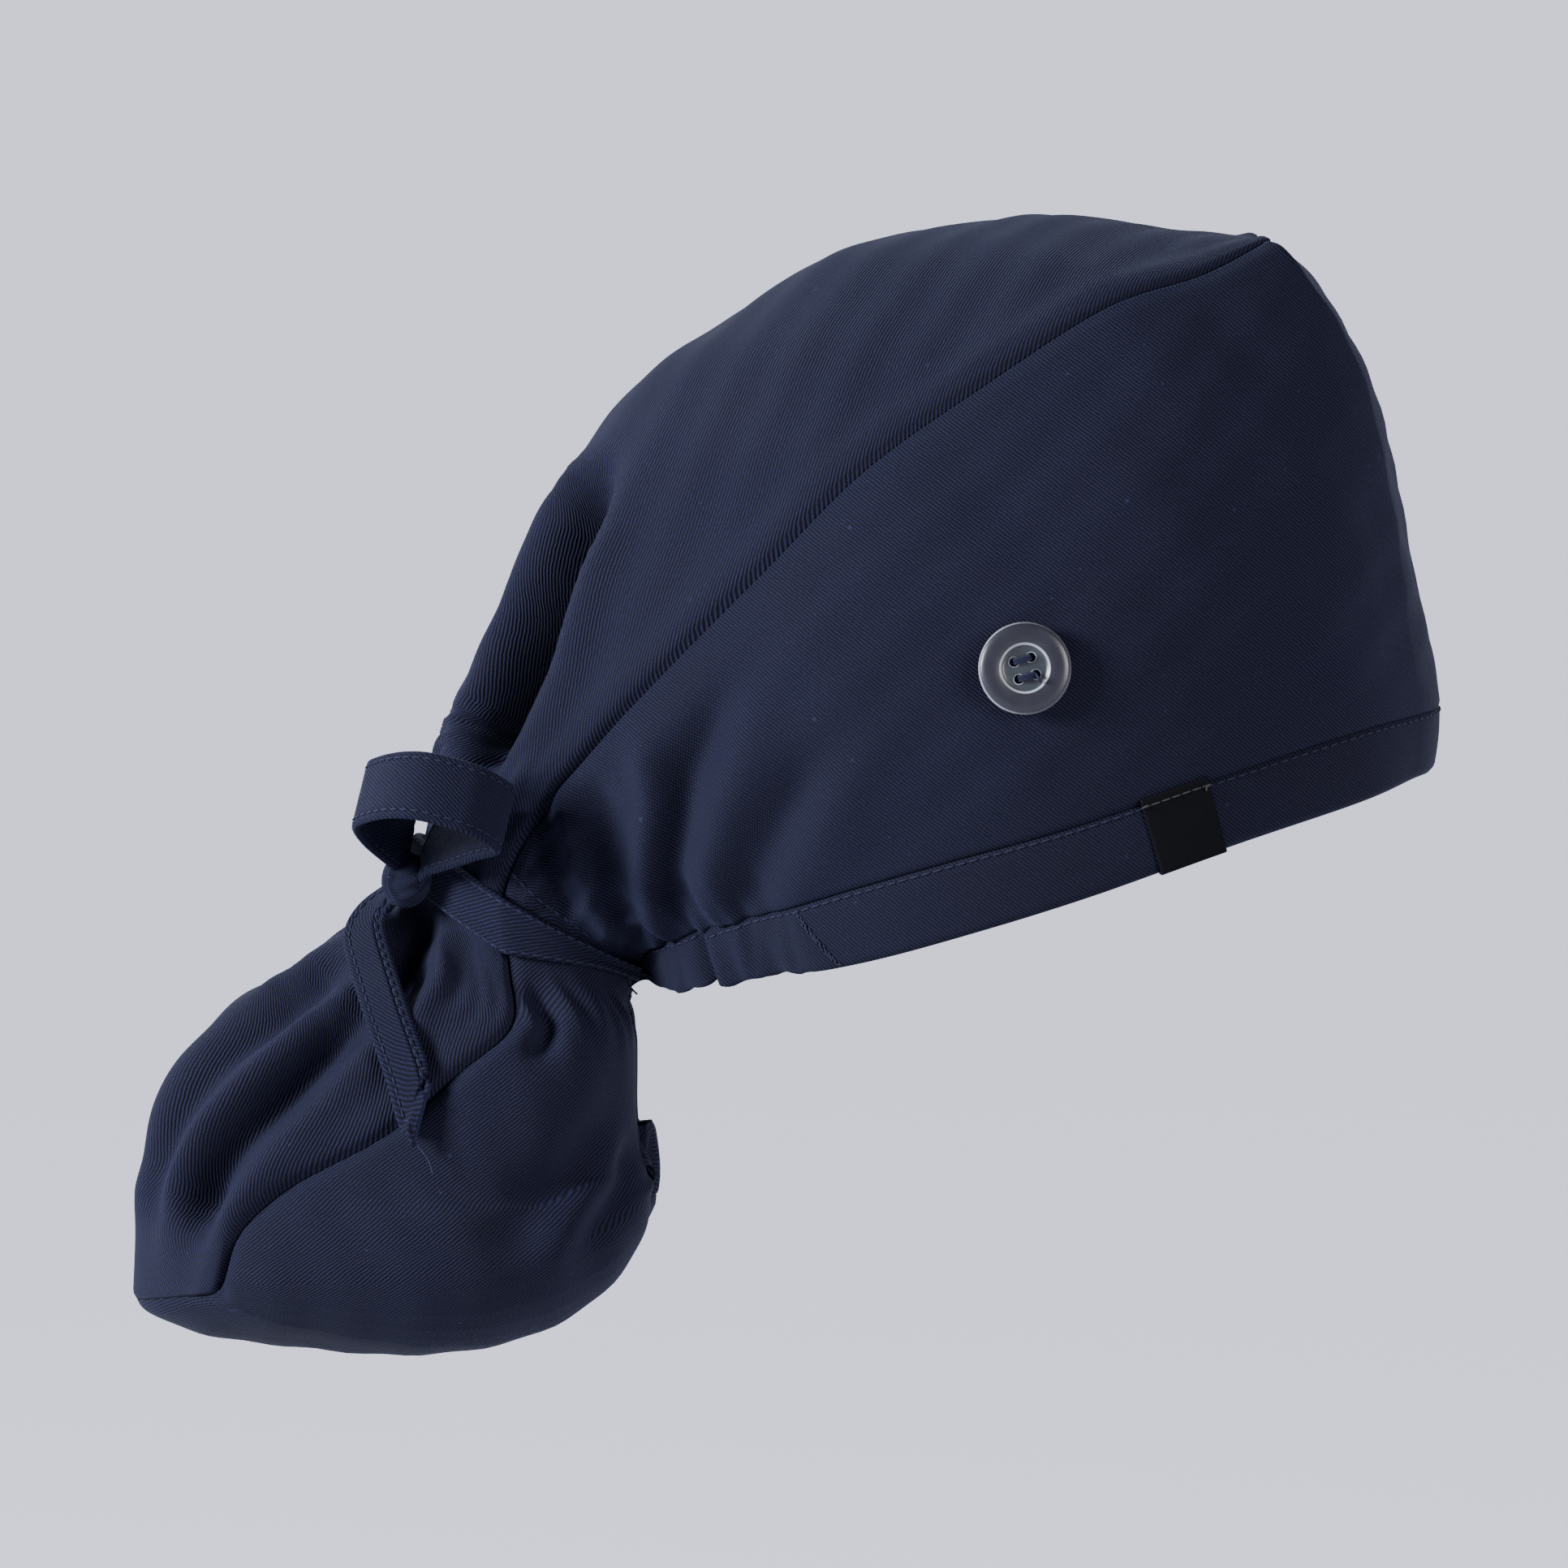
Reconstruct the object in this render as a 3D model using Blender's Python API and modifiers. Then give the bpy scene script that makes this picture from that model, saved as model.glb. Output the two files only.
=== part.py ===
"""Ponytail scrub cap: a long bag of two cloth panels with a hem, cinched at the neck by two ties.

+X points to the brow, +Y to the wearer's left, +Z up. The origin is the middle of the head
opening. All sizes are metres. The right half is drawn from tables and the left half mirrors it.
"""
import bisect
import math

import bmesh
import bpy
from mathutils import Matrix, Vector

# Head opening and crown
HEAD_LENGTH = 0.200
HEAD_WIDTH = 0.164
CROWN_HEIGHT = 0.168

# Cinched neck behind the head, and the pouch that hangs from it
NECK_LENGTH = 0.060
NECK_WIDTH = 0.055
NECK_SETBACK = 0.032
NECK_BELOW = 0.012
POUCH_LENGTH = 0.100
POUCH_WIDTH = 0.084
POUCH_DROP = 0.111

# Cloth and hem
CLOTH = 0.0012
HEM_HEIGHT = 0.0185
HEM_WALL = 0.0022
CLEARANCE = 0.0004
HEM_GAP = 0.0007
SEAM_PROBE = 0.0020

# Folds and gathers
FOLD_HEIGHT = 0.006
FOLD_WIDTH = 0.012
RUFFLE_HEIGHT = 0.0011
RUFFLE_LENGTH = 0.009

# Straps: the two ties, their loop and their tails
STRAP_WIDTH = 0.0185
STRAP_WALL = 0.0022
STRAP_LIFT = 0.0005
PINCHED_WIDTH = 0.009
KNOT_RADIUS = 0.0080
KNOT_THICKNESS = 0.0130
LOOP_LENGTH = 0.036
LOOP_REACH = 0.041
TAIL_SLANT = 0.010

# Buttons, their thread and the label
BUTTON_DIAMETER = 0.023
BUTTON_THICKNESS = 0.0032
BUTTON_RIM = 0.0011
WELL_DIAMETER = 0.0116
HOLE_DIAMETER = 0.0024
HOLE_SPACING = 0.0044
THREAD_DIAMETER = 0.0012
SHANK_HEIGHT = 0.0009
BUTTON_TURN = math.radians(-16)
LABEL_WIDTH = 0.0175
LABEL_HEIGHT = 0.0190
LABEL_WALL = 0.0010
LABEL_GAP = 0.0006

NECK_X = -(HEAD_LENGTH / 2 + NECK_SETBACK)
NECK = Vector((NECK_X, 0, -NECK_BELOW))

# Mesh steps: along the panels to a station, and across them
END_STEPS = 3
SIDE_STEPS = 2.5
SIDE_ROWS = 10
TOP_STEPS = 2.5
TOP_ROWS = 14
HEM_ROWS = 2

# Side panel: a row for each rib, from the brow centre round to the bottom of the pouch. The stitch
# point is where the rib leaves the hem, and the fall leads from there to the hem's lower edge, in
# shares of the hem's height. The bulge pushes the rib outwards, full or pointed, and skewed to the
# hem (plus) or the seam (minus). Other lengths are shares of the sizes of the row's zone.
SIDE_COLUMNS = ("station", "zone", "x", "y", "z", "fall_x", "fall_y", "fall_z",
                "bulge", "fullness", "skew")
SIDE_TABLE = (
    (0.0, "crown", 0.513, 0.000, 0.261, -0.08, 0.00, -0.85, 0.134, 0.70, -0.52),
    (0.5, "crown", 0.505, 0.207, 0.258, -0.06, 0.02, -0.86, 0.134, 0.70, -0.48),
    (1.0, "crown", 0.478, 0.378, 0.254, -0.02, 0.03, -0.87, 0.140, 0.70, -0.36),
    (2.0, "crown", 0.388, 0.658, 0.235, 0.13, 0.10, -0.95, 0.146, 0.75, -0.15),
    (3.0, "crown", 0.210, 0.908, 0.175, 0.24, 0.08, -0.92, 0.134, 0.80, 0.00),
    (4.0, "crown", 0.030, 1.000, 0.106, 0.30, 0.05, -0.93, 0.122, 0.80, 0.00),
    (5.0, "crown", -0.120, 0.982, 0.055, 0.30, 0.05, -0.98, 0.110, 0.80, 0.00),
    (6.0, "crown", -0.250, 0.866, 0.006, 0.27, 0.05, -0.97, 0.098, 0.80, 0.00),
    (7.0, "crown", -0.362, 0.658, -0.042, 0.24, 0.05, -0.82, 0.085, 0.80, 0.00),
    (8.0, "crown", -0.435, 0.439, -0.074, 0.20, 0.00, -0.74, 0.073, 0.80, 0.00),
    (9.0, "crown", -0.480, 0.256, -0.098, 0.15, 0.00, -0.68, 0.066, 0.80, 0.00),
    (10.0, "neck", 0.508, 0.340, -0.158, 0.04, 0.00, -0.32, 0.218, 0.80, 0.00),
    (11.0, "neck", 0.458, 0.330, -0.325, -0.16, 0.02, -0.14, 0.218, 0.80, 0.00),
    (12.0, "pouch", 0.288, 0.215, -0.252, -0.36, 0.02, -0.02, 0.240, 0.70, 0.00),
    (13.0, "pouch", 0.290, 0.205, -0.342, -0.60, 0.05, 0.00, 0.340, 0.68, 0.05),
    (14.0, "pouch", 0.290, 0.200, -0.423, -0.75, 0.05, 0.05, 0.450, 0.66, 0.10),
    (15.0, "pouch", 0.300, 0.190, -0.510, -0.62, 0.05, 0.15, 0.572, 0.66, 0.15),
    (16.0, "pouch", 0.322, 0.180, -0.580, -0.45, 0.05, 0.50, 0.640, 0.64, 0.20),
    (17.0, "pouch", 0.335, 0.150, -0.625, -0.12, 0.02, 0.92, 0.676, 0.64, 0.22),
    (18.0, "pouch", 0.338, 0.000, -0.634, 0.00, 0.00, 1.00, 0.676, 0.64, 0.22),
)

# Top panel: a row for each arch across it, at the side panel's stations, from the brow seam to the
# end seam of the pouch. The arch rises from the seam to the ridge, flatter with a higher roundness.
TOP_COLUMNS = ("station", "zone", "x", "y", "z", "ridge_x", "ridge_z", "roundness")
TOP_TABLE = (
    (1.0, "crown", 0.286, 0.451, 0.972, 0.286, 0.966, 3.0),
    (2.0, "crown", 0.200, 0.573, 0.921, 0.165, 0.985, 2.4),
    (3.0, "crown", 0.075, 0.683, 0.871, -0.030, 0.999, 2.1),
    (4.0, "crown", -0.082, 0.732, 0.752, -0.225, 0.958, 2.0),
    (5.0, "crown", -0.227, 0.744, 0.629, -0.410, 0.840, 2.0),
    (6.0, "crown", -0.352, 0.713, 0.479, -0.540, 0.708, 2.0),
    (7.0, "crown", -0.477, 0.610, 0.326, -0.636, 0.542, 2.0),
    (8.0, "crown", -0.575, 0.476, 0.196, -0.707, 0.348, 2.0),
    (9.0, "crown", -0.635, 0.378, 0.101, -0.762, 0.211, 2.0),
    (10.0, "neck", -0.070, 0.960, 0.140, -0.417, 0.367, 2.0),
    (11.0, "neck", -0.042, 1.018, -0.167, -0.500, 0.117, 2.0),
    (12.0, "pouch", -0.018, 0.798, -0.213, -0.420, -0.009, 2.0),
    (13.0, "pouch", -0.140, 0.893, -0.311, -0.555, -0.086, 2.0),
    (14.0, "pouch", -0.330, 0.917, -0.457, -0.770, -0.216, 2.0),
    (15.0, "pouch", -0.580, 0.881, -0.584, -0.930, -0.400, 1.9),
    (16.0, "pouch", -0.710, 0.845, -0.708, -0.993, -0.640, 1.8),
    (17.0, "pouch", -0.765, 0.786, -0.829, -1.004, -0.878, 1.7),
)

# Folds: each runs over three places on the bag, given by station and by how far across it lies
# (0 hem, 1 seam, 2 ridge). Width and height are shares of the fold sizes; a valley is minus.
FOLD_COLUMNS = ("side", "from_station", "from_across", "over_station", "over_across",
                "to_station", "to_across", "width", "height")
FOLD_TABLE = (
    ("right", 6.3, 1.84, 7.7, 1.64, 9.3, 1.62, 0.80, 0.45),
    ("right", 6.3, 1.66, 7.5, 1.42, 9.2, 1.30, 0.90, -0.95),
    ("right", 6.6, 1.30, 7.8, 1.16, 9.2, 1.12, 1.00, 0.35),
    ("right", 8.2, 0.84, 8.3, 0.50, 9.3, 0.06, 0.60, -0.60),
    ("right", 7.4, 0.80, 7.7, 0.46, 9.2, 0.04, 0.65, 0.50),
    ("right", 6.5, 0.74, 7.3, 0.45, 8.1, 0.02, 0.70, -0.80),
    ("right", 6.0, 0.56, 6.9, 0.36, 7.5, 0.02, 0.80, 0.40),
    ("right", 5.8, 0.36, 6.5, 0.20, 7.2, 0.00, 0.80, -0.42),
    ("right", 5.2, 0.30, 6.1, 0.15, 6.7, 0.00, 0.90, 0.22),
    ("right", 12.7, 1.48, 14.6, 1.45, 16.3, 1.52, 0.90, 0.60),
    ("right", 12.7, 1.36, 14.7, 1.28, 16.2, 1.24, 0.62, -1.40),
    ("right", 13.0, 1.24, 14.8, 1.12, 16.3, 1.05, 0.60, 0.70),
    ("right", 11.4, 1.40, 12.2, 1.28, 13.3, 1.14, 0.50, 0.35),
    ("right", 11.4, 1.62, 12.0, 1.48, 12.8, 1.36, 0.60, -0.80),
    ("right", 11.4, 0.94, 12.0, 0.82, 12.7, 0.76, 0.50, -0.70),
    ("right", 13.4, 0.22, 15.0, 0.32, 16.8, 0.44, 0.85, -0.42),
    ("right", 14.7, 0.06, 15.9, 0.12, 16.9, 0.22, 0.50, -0.50),
    ("left", 6.2, 1.80, 7.6, 1.66, 9.2, 1.60, 0.90, 0.40),
    ("left", 6.7, 1.58, 7.9, 1.38, 9.1, 1.26, 0.80, -0.80),
    ("left", 7.1, 0.82, 7.9, 0.45, 9.0, 0.06, 0.80, -0.70),
    ("left", 6.4, 0.62, 7.2, 0.35, 8.2, 0.04, 0.80, 0.40),
    ("left", 5.6, 0.40, 6.4, 0.22, 7.3, 0.00, 0.90, -0.45),
    ("left", 8.3, 0.90, 8.7, 0.50, 9.4, 0.08, 0.60, 0.40),
    ("left", 12.8, 1.52, 14.4, 1.38, 16.2, 1.34, 0.70, -1.20),
    ("left", 12.9, 1.34, 14.6, 1.20, 16.2, 1.14, 0.70, 0.60),
    ("left", 12.6, 0.70, 14.2, 0.62, 16.0, 0.70, 0.80, -0.70),
    ("left", 13.4, 0.42, 15.0, 0.38, 16.8, 0.50, 0.80, 0.40),
    ("left", 14.0, 0.12, 15.6, 0.14, 16.9, 0.20, 0.60, -0.50),
    ("left", 11.4, 1.30, 12.2, 1.22, 13.2, 1.10, 0.60, -0.55),
)
FOLD_SAMPLES = 12
FOLD_FADE = 0.25
RIDGE_FADE = 0.14
CENTRE_FADE = 0.9

# Where the hem is gathered: from station, to station
GATHERS = ((6.35, 10.0), (16.8, 18.0))

# Neck straps: the stations of their two edges, and how far across they start and end
NECK_EDGES = (10.0, 10.8)
KNOT_STATION = 10.5
TIE_START = 0.03
TIE_MEET = 1.54
TIE_END_GAP = 0.03
TIE_STEP = 0.1

# Bow loop, seen along the strap's edge: from the knot forwards, round the outside and back
LOOP_COLUMNS = ("forward", "out")
LOOP_TABLE = (
    (0.04, 0.02),
    (0.28, 0.29),
    (0.48, 0.54),
    (0.66, 0.77),
    (0.50, 0.95),
    (0.32, 1.00),
    (0.09, 1.00),
    (-0.09, 0.92),
    (-0.24, 0.78),
    (-0.33, 0.62),
    (-0.27, 0.38),
    (-0.10, 0.12),
    (-0.02, 0.03),
)
LOOP_TIP = Vector((0.235, 0.465, 1)).normalized()
LOOP_OPENING = 0.9
LOOP_STEPS = 2

# Tails: places on the bag, height above it as a share of the strap's width, width share
TAIL_COLUMNS = ("station", "across", "height", "width")
TAIL_RIGHT = (
    (10.60, 1.58, 0.48, 0.38),
    (11.00, 1.64, 0.48, 0.40),
    (11.38, 1.69, 0.42, 0.46),
    (11.76, 1.70, 0.34, 0.56),
    (12.14, 1.63, 0.27, 0.62),
    (12.55, 1.46, 0.22, 0.62),
    (12.95, 1.28, 0.22, 0.62),
    (13.35, 1.10, 0.22, 0.62),
    (13.70, 0.97, 0.22, 0.62),
)
TAIL_LEFT = (
    (10.50, 1.58, 0.50, 0.40),
    (10.10, 1.76, 0.46, 0.42),
    (10.05, 2.04, 0.40, 0.50),
    (10.45, 2.30, 0.36, 0.72),
    (11.15, 2.42, 0.30, 0.95),
    (12.00, 2.52, 0.24, 1.00),
    (12.90, 2.66, 0.22, 1.00),
    (13.65, 2.84, 0.22, 1.00),
    (14.30, 3.04, 0.24, 1.00),
)
TAIL_STEPS = 2

# Places of the button and the label on the side panel: station and across
BUTTON_PLACE = (4.10, 0.36)
LABEL_STATION = 3.28

FIRST = TOP_TABLE[0][0]
LAST = TOP_TABLE[-1][0]
END = SIDE_TABLE[-1][0]


def placed(zone, x, y, z):
    """Point of the right half from shares of its zone's sizes."""
    if zone == "crown":
        return Vector((x * HEAD_LENGTH, -y * HEAD_WIDTH / 2, z * CROWN_HEIGHT))
    if zone == "neck":
        return NECK + Vector((x * NECK_LENGTH, -y * NECK_WIDTH / 2, z * NECK_LENGTH))
    return NECK + Vector((x * POUCH_LENGTH, -y * POUCH_WIDTH / 2, z * POUCH_DROP))


def half_width(zone):
    """Half the width of a zone, which its bulges follow."""
    return {"crown": HEAD_WIDTH, "neck": NECK_WIDTH, "pouch": POUCH_WIDTH}[zone] / 2


def smooth(stations, values, s):
    """Value at s on a smooth curve through the values at rising stations."""
    i = min(max(bisect.bisect_right(stations, s) - 1, 0), len(stations) - 2)
    span = stations[i + 1] - stations[i]
    k = (s - stations[i]) / span
    before = max(i - 1, 0)
    after = min(i + 2, len(stations) - 1)
    start = (values[i + 1] - values[before]) * (span / (stations[i + 1] - stations[before]))
    finish = (values[after] - values[i]) * (span / (stations[after] - stations[i]))
    return (values[i] * (2 * k**3 - 3 * k**2 + 1) + start * (k**3 - 2 * k**2 + k)
            + values[i + 1] * (3 * k**2 - 2 * k**3) + finish * (k**3 - k**2))


def mirrored_y(point):
    return Vector((point.x, -point.y, point.z))


def side_rows():
    """Rows of the side table in metres, with a mirrored row past each end for smoothness."""
    rows = []
    for line in SIDE_TABLE:
        row = dict(zip(SIDE_COLUMNS, line))
        rows.append({
            "station": row["station"],
            "stitch": placed(row["zone"], row["x"], row["y"], row["z"]),
            "fall": Vector((row["fall_x"], row["fall_y"], row["fall_z"])) * HEM_HEIGHT,
            "bulge": row["bulge"] * half_width(row["zone"]),
            "fullness": row["fullness"],
            "skew": row["skew"],
        })
    first = dict(rows[1], station=-rows[1]["station"], stitch=mirrored_y(rows[1]["stitch"]))
    past = dict(rows[-2], station=2 * END - rows[-2]["station"],
                stitch=mirrored_y(rows[-2]["stitch"]), fall=mirrored_y(rows[-2]["fall"]))
    return [first] + rows + [past]


def top_rows():
    """Rows of the top table in metres."""
    rows = []
    for line in TOP_TABLE:
        row = dict(zip(TOP_COLUMNS, line))
        rows.append({
            "station": row["station"],
            "seam": placed(row["zone"], row["x"], row["y"], row["z"]),
            "ridge": placed(row["zone"], row["ridge_x"], 0, row["ridge_z"]),
            "roundness": row["roundness"],
        })
    return rows


SIDE = side_rows()
TOP = top_rows()
SIDE_STATIONS = [row["station"] for row in SIDE]
TOP_STATIONS = [row["station"] for row in TOP]


def side_value(name, station):
    return smooth(SIDE_STATIONS, [row[name] for row in SIDE], station)


def top_value(name, station):
    return smooth(TOP_STATIONS, [row[name] for row in TOP], station)


def arch(station, share):
    """Point of the top panel: share 0 on the ridge, 1 on the right seam, -1 on the left seam."""
    seam = top_value("seam", station)
    ridge = top_value("ridge", station)
    rise = abs(share) ** top_value("roundness", station)
    point = ridge.lerp(seam, rise)
    point.y = seam.y * share
    return point


def seam_point(station):
    """Upper edge of the side panel: brow seam, long side seam, then the end seam of the pouch."""
    if station < FIRST:
        return arch(FIRST, station / FIRST)
    if station > LAST:
        return arch(LAST, (END - station) / (END - LAST))
    return arch(station, 1)


def rib(station, share):
    """Point of the side panel's rib before it bulges: 0 at the hem stitches, 1 at the seam."""
    return side_value("stitch", station).lerp(seam_point(station), share)


def outwards(station):
    """Direction in which a rib bulges, square to the rib and to the way along the panel."""
    along = rib(station + 0.25, 0.5) - rib(station - 0.25, 0.5) if 0.25 < station < END - 0.25 else None
    if along is None:
        along = Vector((0, 1, 0)) if station > END / 2 else Vector((0, -1, 0))
    across = rib(station, 1) - rib(station, 0)
    return across.cross(along).normalized()


def side_point(station, share):
    """Point of the side panel's outer face."""
    swell = math.sin(math.pi * min(max(share, 0), 1)) ** side_value("fullness", station)
    swell *= 1 + side_value("skew", station) * math.cos(math.pi * share)
    return rib(station, share) + outwards(station) * (side_value("bulge", station) * swell)


def bag_point(station, across):
    """Point of the smooth right half: across 0 to 1 is the side panel, 1 to 2 the top panel."""
    if across <= 1:
        return side_point(station, across)
    return arch(station, 2 - across)


def bag_normal(station, across):
    """Outward direction of the smooth bag, the same on both sides of a seam."""
    ahead = min(station + 0.1, END)
    behind = max(station - 0.1, 0)
    on_top = FIRST <= behind and ahead <= LAST
    above = min(across + 0.06, 4 if on_top else 1)
    below = across - 0.06
    along = bag_point(ahead, across) - bag_point(behind, across)
    if ahead == END or behind == 0:
        along = Vector((0, along.y, 0))
    return (bag_point(station, above) - bag_point(station, below)).cross(along).normalized()


def ease(value):
    """Smooth step from 0 to 1."""
    value = min(max(value, 0), 1)
    return value * value * (3 - 2 * value)


def fold_lines():
    """Each fold's points in space, with its strength at each, by side."""
    lines = {"right": [], "left": []}
    for line in FOLD_TABLE:
        row = dict(zip(FOLD_COLUMNS, line))
        places = [(row[end + "_station"], row[end + "_across"]) for end in ("from", "over", "to")]
        points = []
        for i in range(FOLD_SAMPLES + 1):
            s = i / FOLD_SAMPLES
            weights = ((2 * s - 1) * (s - 1), 4 * s * (1 - s), s * (2 * s - 1))
            station = sum(w * place[0] for w, place in zip(weights, places))
            across = sum(w * place[1] for w, place in zip(weights, places))
            points.append((bag_point(station, across), ease(min(s, 1 - s) / FOLD_FADE)))
        lines[row["side"]].append((points, row["width"] * FOLD_WIDTH, row["height"] * FOLD_HEIGHT))
    return lines


FOLDS = fold_lines()
HEM_STATION_LENGTH = (side_value("stitch", 4.0) - side_value("stitch", 3.0)).length


def fold_height(point, side):
    """How far the folds of a side push a point outwards."""
    total = 0
    for points, width, height in FOLDS[side]:
        strength = 0
        for (a, fade_a), (b, fade_b) in zip(points, points[1:]):
            leg = b - a
            k = min(max((point - a).dot(leg) / leg.length_squared, 0), 1)
            distance = (point - a - leg * k).length
            fade = fade_a + (fade_b - fade_a) * k
            strength = max(strength, fade * math.exp(-(distance / width) ** 2))
        total += height * strength
    return total


def cloth_point(station, across, lift=0.0):
    """Point of the folded bag: across 0 to 2 on the right half, 2 to 4 over to the left hem."""
    side = "right" if across <= 2 else "left"
    share = across if side == "right" else 4 - across
    point = bag_point(station, share)
    fade = ease((2 - share) / RIDGE_FADE) * ease(min(station, END - station) / CENTRE_FADE)
    height = fold_height(point, side) * fade + lift
    point = point + bag_normal(station, share) * height
    return point if side == "right" else mirrored_y(point)


def plain_point(station, across):
    """Point of the smooth bag on either half."""
    if across <= 2:
        return bag_point(station, across)
    return mirrored_y(bag_point(station, 4 - across))


def cloth_normal(station, across):
    """Outward direction of the smooth bag at a place on either half."""
    if across <= 2:
        return bag_normal(station, across)
    return mirrored_y(bag_normal(station, 4 - across))


def new_material(name, color, roughness, alpha=1.0):
    material = bpy.data.materials.new(name)
    material.use_nodes = True
    shader = material.node_tree.nodes["Principled BSDF"]
    shader.inputs["Base Color"].default_value = (*color, 1)
    shader.inputs["Roughness"].default_value = roughness
    shader.inputs["Alpha"].default_value = alpha
    return material


def new_object(name, mesh, material, collection):
    part = bpy.data.objects.new(name, mesh)
    part.data.materials.append(material)
    collection.objects.link(part)
    return part


def grid_mesh(name, grid, closed=False):
    """Open surface through rows of points, the last row joined to the first where closed."""
    bm = bmesh.new()
    rows = [[bm.verts.new(point) for point in row] for row in grid]
    count = len(rows) if closed else len(rows) - 1
    for i in range(count):
        here = rows[i]
        there = rows[(i + 1) % len(rows)]
        for j in range(len(here) - 1):
            bm.faces.new((here[j], here[j + 1], there[j + 1], there[j]))
    mesh = bpy.data.meshes.new(name)
    bm.to_mesh(mesh)
    bm.free()
    mesh.shade_smooth()
    return mesh


def add_wall(part, thickness, offset):
    """Thickness for an open surface: offset -1 inwards, 1 outwards, 0 both ways."""
    wall = part.modifiers.new("Wall", "SOLIDIFY")
    wall.thickness = thickness
    wall.offset = offset


def stations_between(start, stop, steps):
    """Evenly spaced stations, with that many steps to a unit."""
    count = round((stop - start) * steps)
    return [start + (stop - start) * i / count for i in range(count + 1)]


def panel_stations():
    """Stations of the side panel's and the hem's meshes, with one at each corner of the seam."""
    return (stations_between(0, FIRST, END_STEPS)[:-1] + stations_between(FIRST, LAST, SIDE_STEPS)[:-1]
            + stations_between(LAST, END, END_STEPS))


def share_at(curve, distance):
    """How far along a curve (0 to 1) the straight distance from its start is reached."""
    low, high = 0, 0.5
    for _ in range(24):
        middle = (low + high) / 2
        if (curve(middle) - curve(0)).length < distance:
            low = middle
        else:
            high = middle
    return high


def seam_trims(down_side, down_top):
    """Shares by which both panels stop short of a seam, so that their walls pass at its bend."""
    seam = down_side(0)
    side_way = down_side(share_at(down_side, SEAM_PROBE)) - seam
    top_way = down_top(share_at(down_top, SEAM_PROBE)) - seam
    bend = math.pi - side_way.angle(top_way)
    room = CLEARANCE / 2 + CLOTH * math.tan(min(bend, 1.8) / 2)
    return share_at(down_side, room), share_at(down_top, room)


def side_trim(station):
    """Trims of the side panel and of the top panel at a station of the side panel."""
    def down_side(k):
        return side_point(station, 1 - k)

    def down_top(k):
        if station < FIRST:
            return arch(FIRST + k, station / FIRST)
        if station > LAST:
            return arch(LAST - k, (END - station) / (END - LAST))
        return arch(station, 1 - k)
    return seam_trims(down_side, down_top)


def build_side_panel(material, collection):
    """Side cloth from the brow round both sides to the bottom of the pouch."""
    stations = panel_stations()
    halves = {"right": [], "left": []}
    for station in stations:
        length = (rib(station, 1) - rib(station, 0)).length
        top = 1 - side_trim(station)[0]
        bottom = HEM_GAP / length
        shares = [bottom + (top - bottom) * j / SIDE_ROWS for j in range(SIDE_ROWS + 1)]
        halves["right"].append([cloth_point(station, share) for share in shares])
        halves["left"].append([cloth_point(station, 4 - share) for share in shares])
    ring = halves["right"] + halves["left"][-2:0:-1]
    part = new_object("side_panel", grid_mesh("side_panel", ring, True), material, collection)
    add_wall(part, CLOTH, -1)


def build_top_panel(material, collection):
    """Strip over the crown, through the neck and down the back of the pouch."""
    count = round((LAST - FIRST) * TOP_STEPS)
    shares = [1 - 2 * j / TOP_ROWS for j in range(TOP_ROWS + 1)]
    starts = [FIRST + side_trim(abs(share) * FIRST * 0.999)[1] for share in shares]
    stops = [LAST - side_trim(END - abs(share) * (END - LAST) * 0.999)[1] for share in shares]
    grid = []
    for i in range(count + 1):
        row = []
        for share, start, stop in zip(shares, starts, stops):
            station = start + (stop - start) * i / count
            edge = 1 - side_trim(station)[1]
            row.append(cloth_point(station, 2 - edge * share))
        grid.append(row)
    part = new_object("top_panel", grid_mesh("top_panel", grid), material, collection)
    add_wall(part, CLOTH, -1)


def hem_point(station, share, left=False):
    """Point of the hem's outer face: share 0 at its lower edge, 1 at the stitches."""
    top = cloth_point(station, 4 if left else 0)
    normal = bag_normal(station, 0)
    fall = side_value("fall", station)
    inset = ease((station - NECK_EDGES[0] + 0.5) / 1.5) * (CLOTH + 2 * CLEARANCE)
    if left:
        normal = mirrored_y(normal)
        fall = mirrored_y(fall)
    ripple = 0
    for start, stop in GATHERS:
        fade = ease((station - start) / 0.5) * (1 if stop == END else ease((stop - station) / 0.5))
        wave = math.sin(station * HEM_STATION_LENGTH * 2 * math.pi / RUFFLE_LENGTH + left)
        ripple += RUFFLE_HEIGHT * fade * wave
    return top + fall * (1 - share) + normal * (ripple * (1 - 0.5 * share) - inset)


def build_hem_band(material, collection):
    """Doubled hem round the head opening, gathered at the back, and on into the pouch's mouth."""
    stations = panel_stations()
    shares = [j / HEM_ROWS for j in range(HEM_ROWS + 1)]
    right = [[hem_point(station, share) for share in shares] for station in stations]
    left = [[hem_point(station, share, True) for share in shares] for station in stations[1:-1]]
    ring = right + left[::-1]
    part = new_object("hem_band", grid_mesh("hem_band", ring, True), material, collection)
    add_wall(part, HEM_WALL, -1)


def build_tie(name, starts, ends, material, collection):
    """Strap laid round the neck over the cloth, from the hem to the knot."""
    columns = [NECK_EDGES[0] + (NECK_EDGES[1] - NECK_EDGES[0]) * j / 4 for j in range(5)]
    if starts > ends:
        columns.reverse()
    seams = [seam for seam in (1, 3) if min(starts, ends) < seam < max(starts, ends)]
    corners = sorted([starts, ends] + seams, reverse=starts > ends)
    places = [starts]
    for a, b in zip(corners, corners[1:]):
        count = round(abs(b - a) / TIE_STEP)
        places += [a + (b - a) * i / count for i in range(1, count + 1)]
    grid = [[cloth_point(column, across, STRAP_LIFT) for column in columns] for across in places]
    part = new_object(name, grid_mesh(name, grid), material, collection)
    part.data.flip_normals()
    add_wall(part, STRAP_WALL, 1)
    return part


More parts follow.
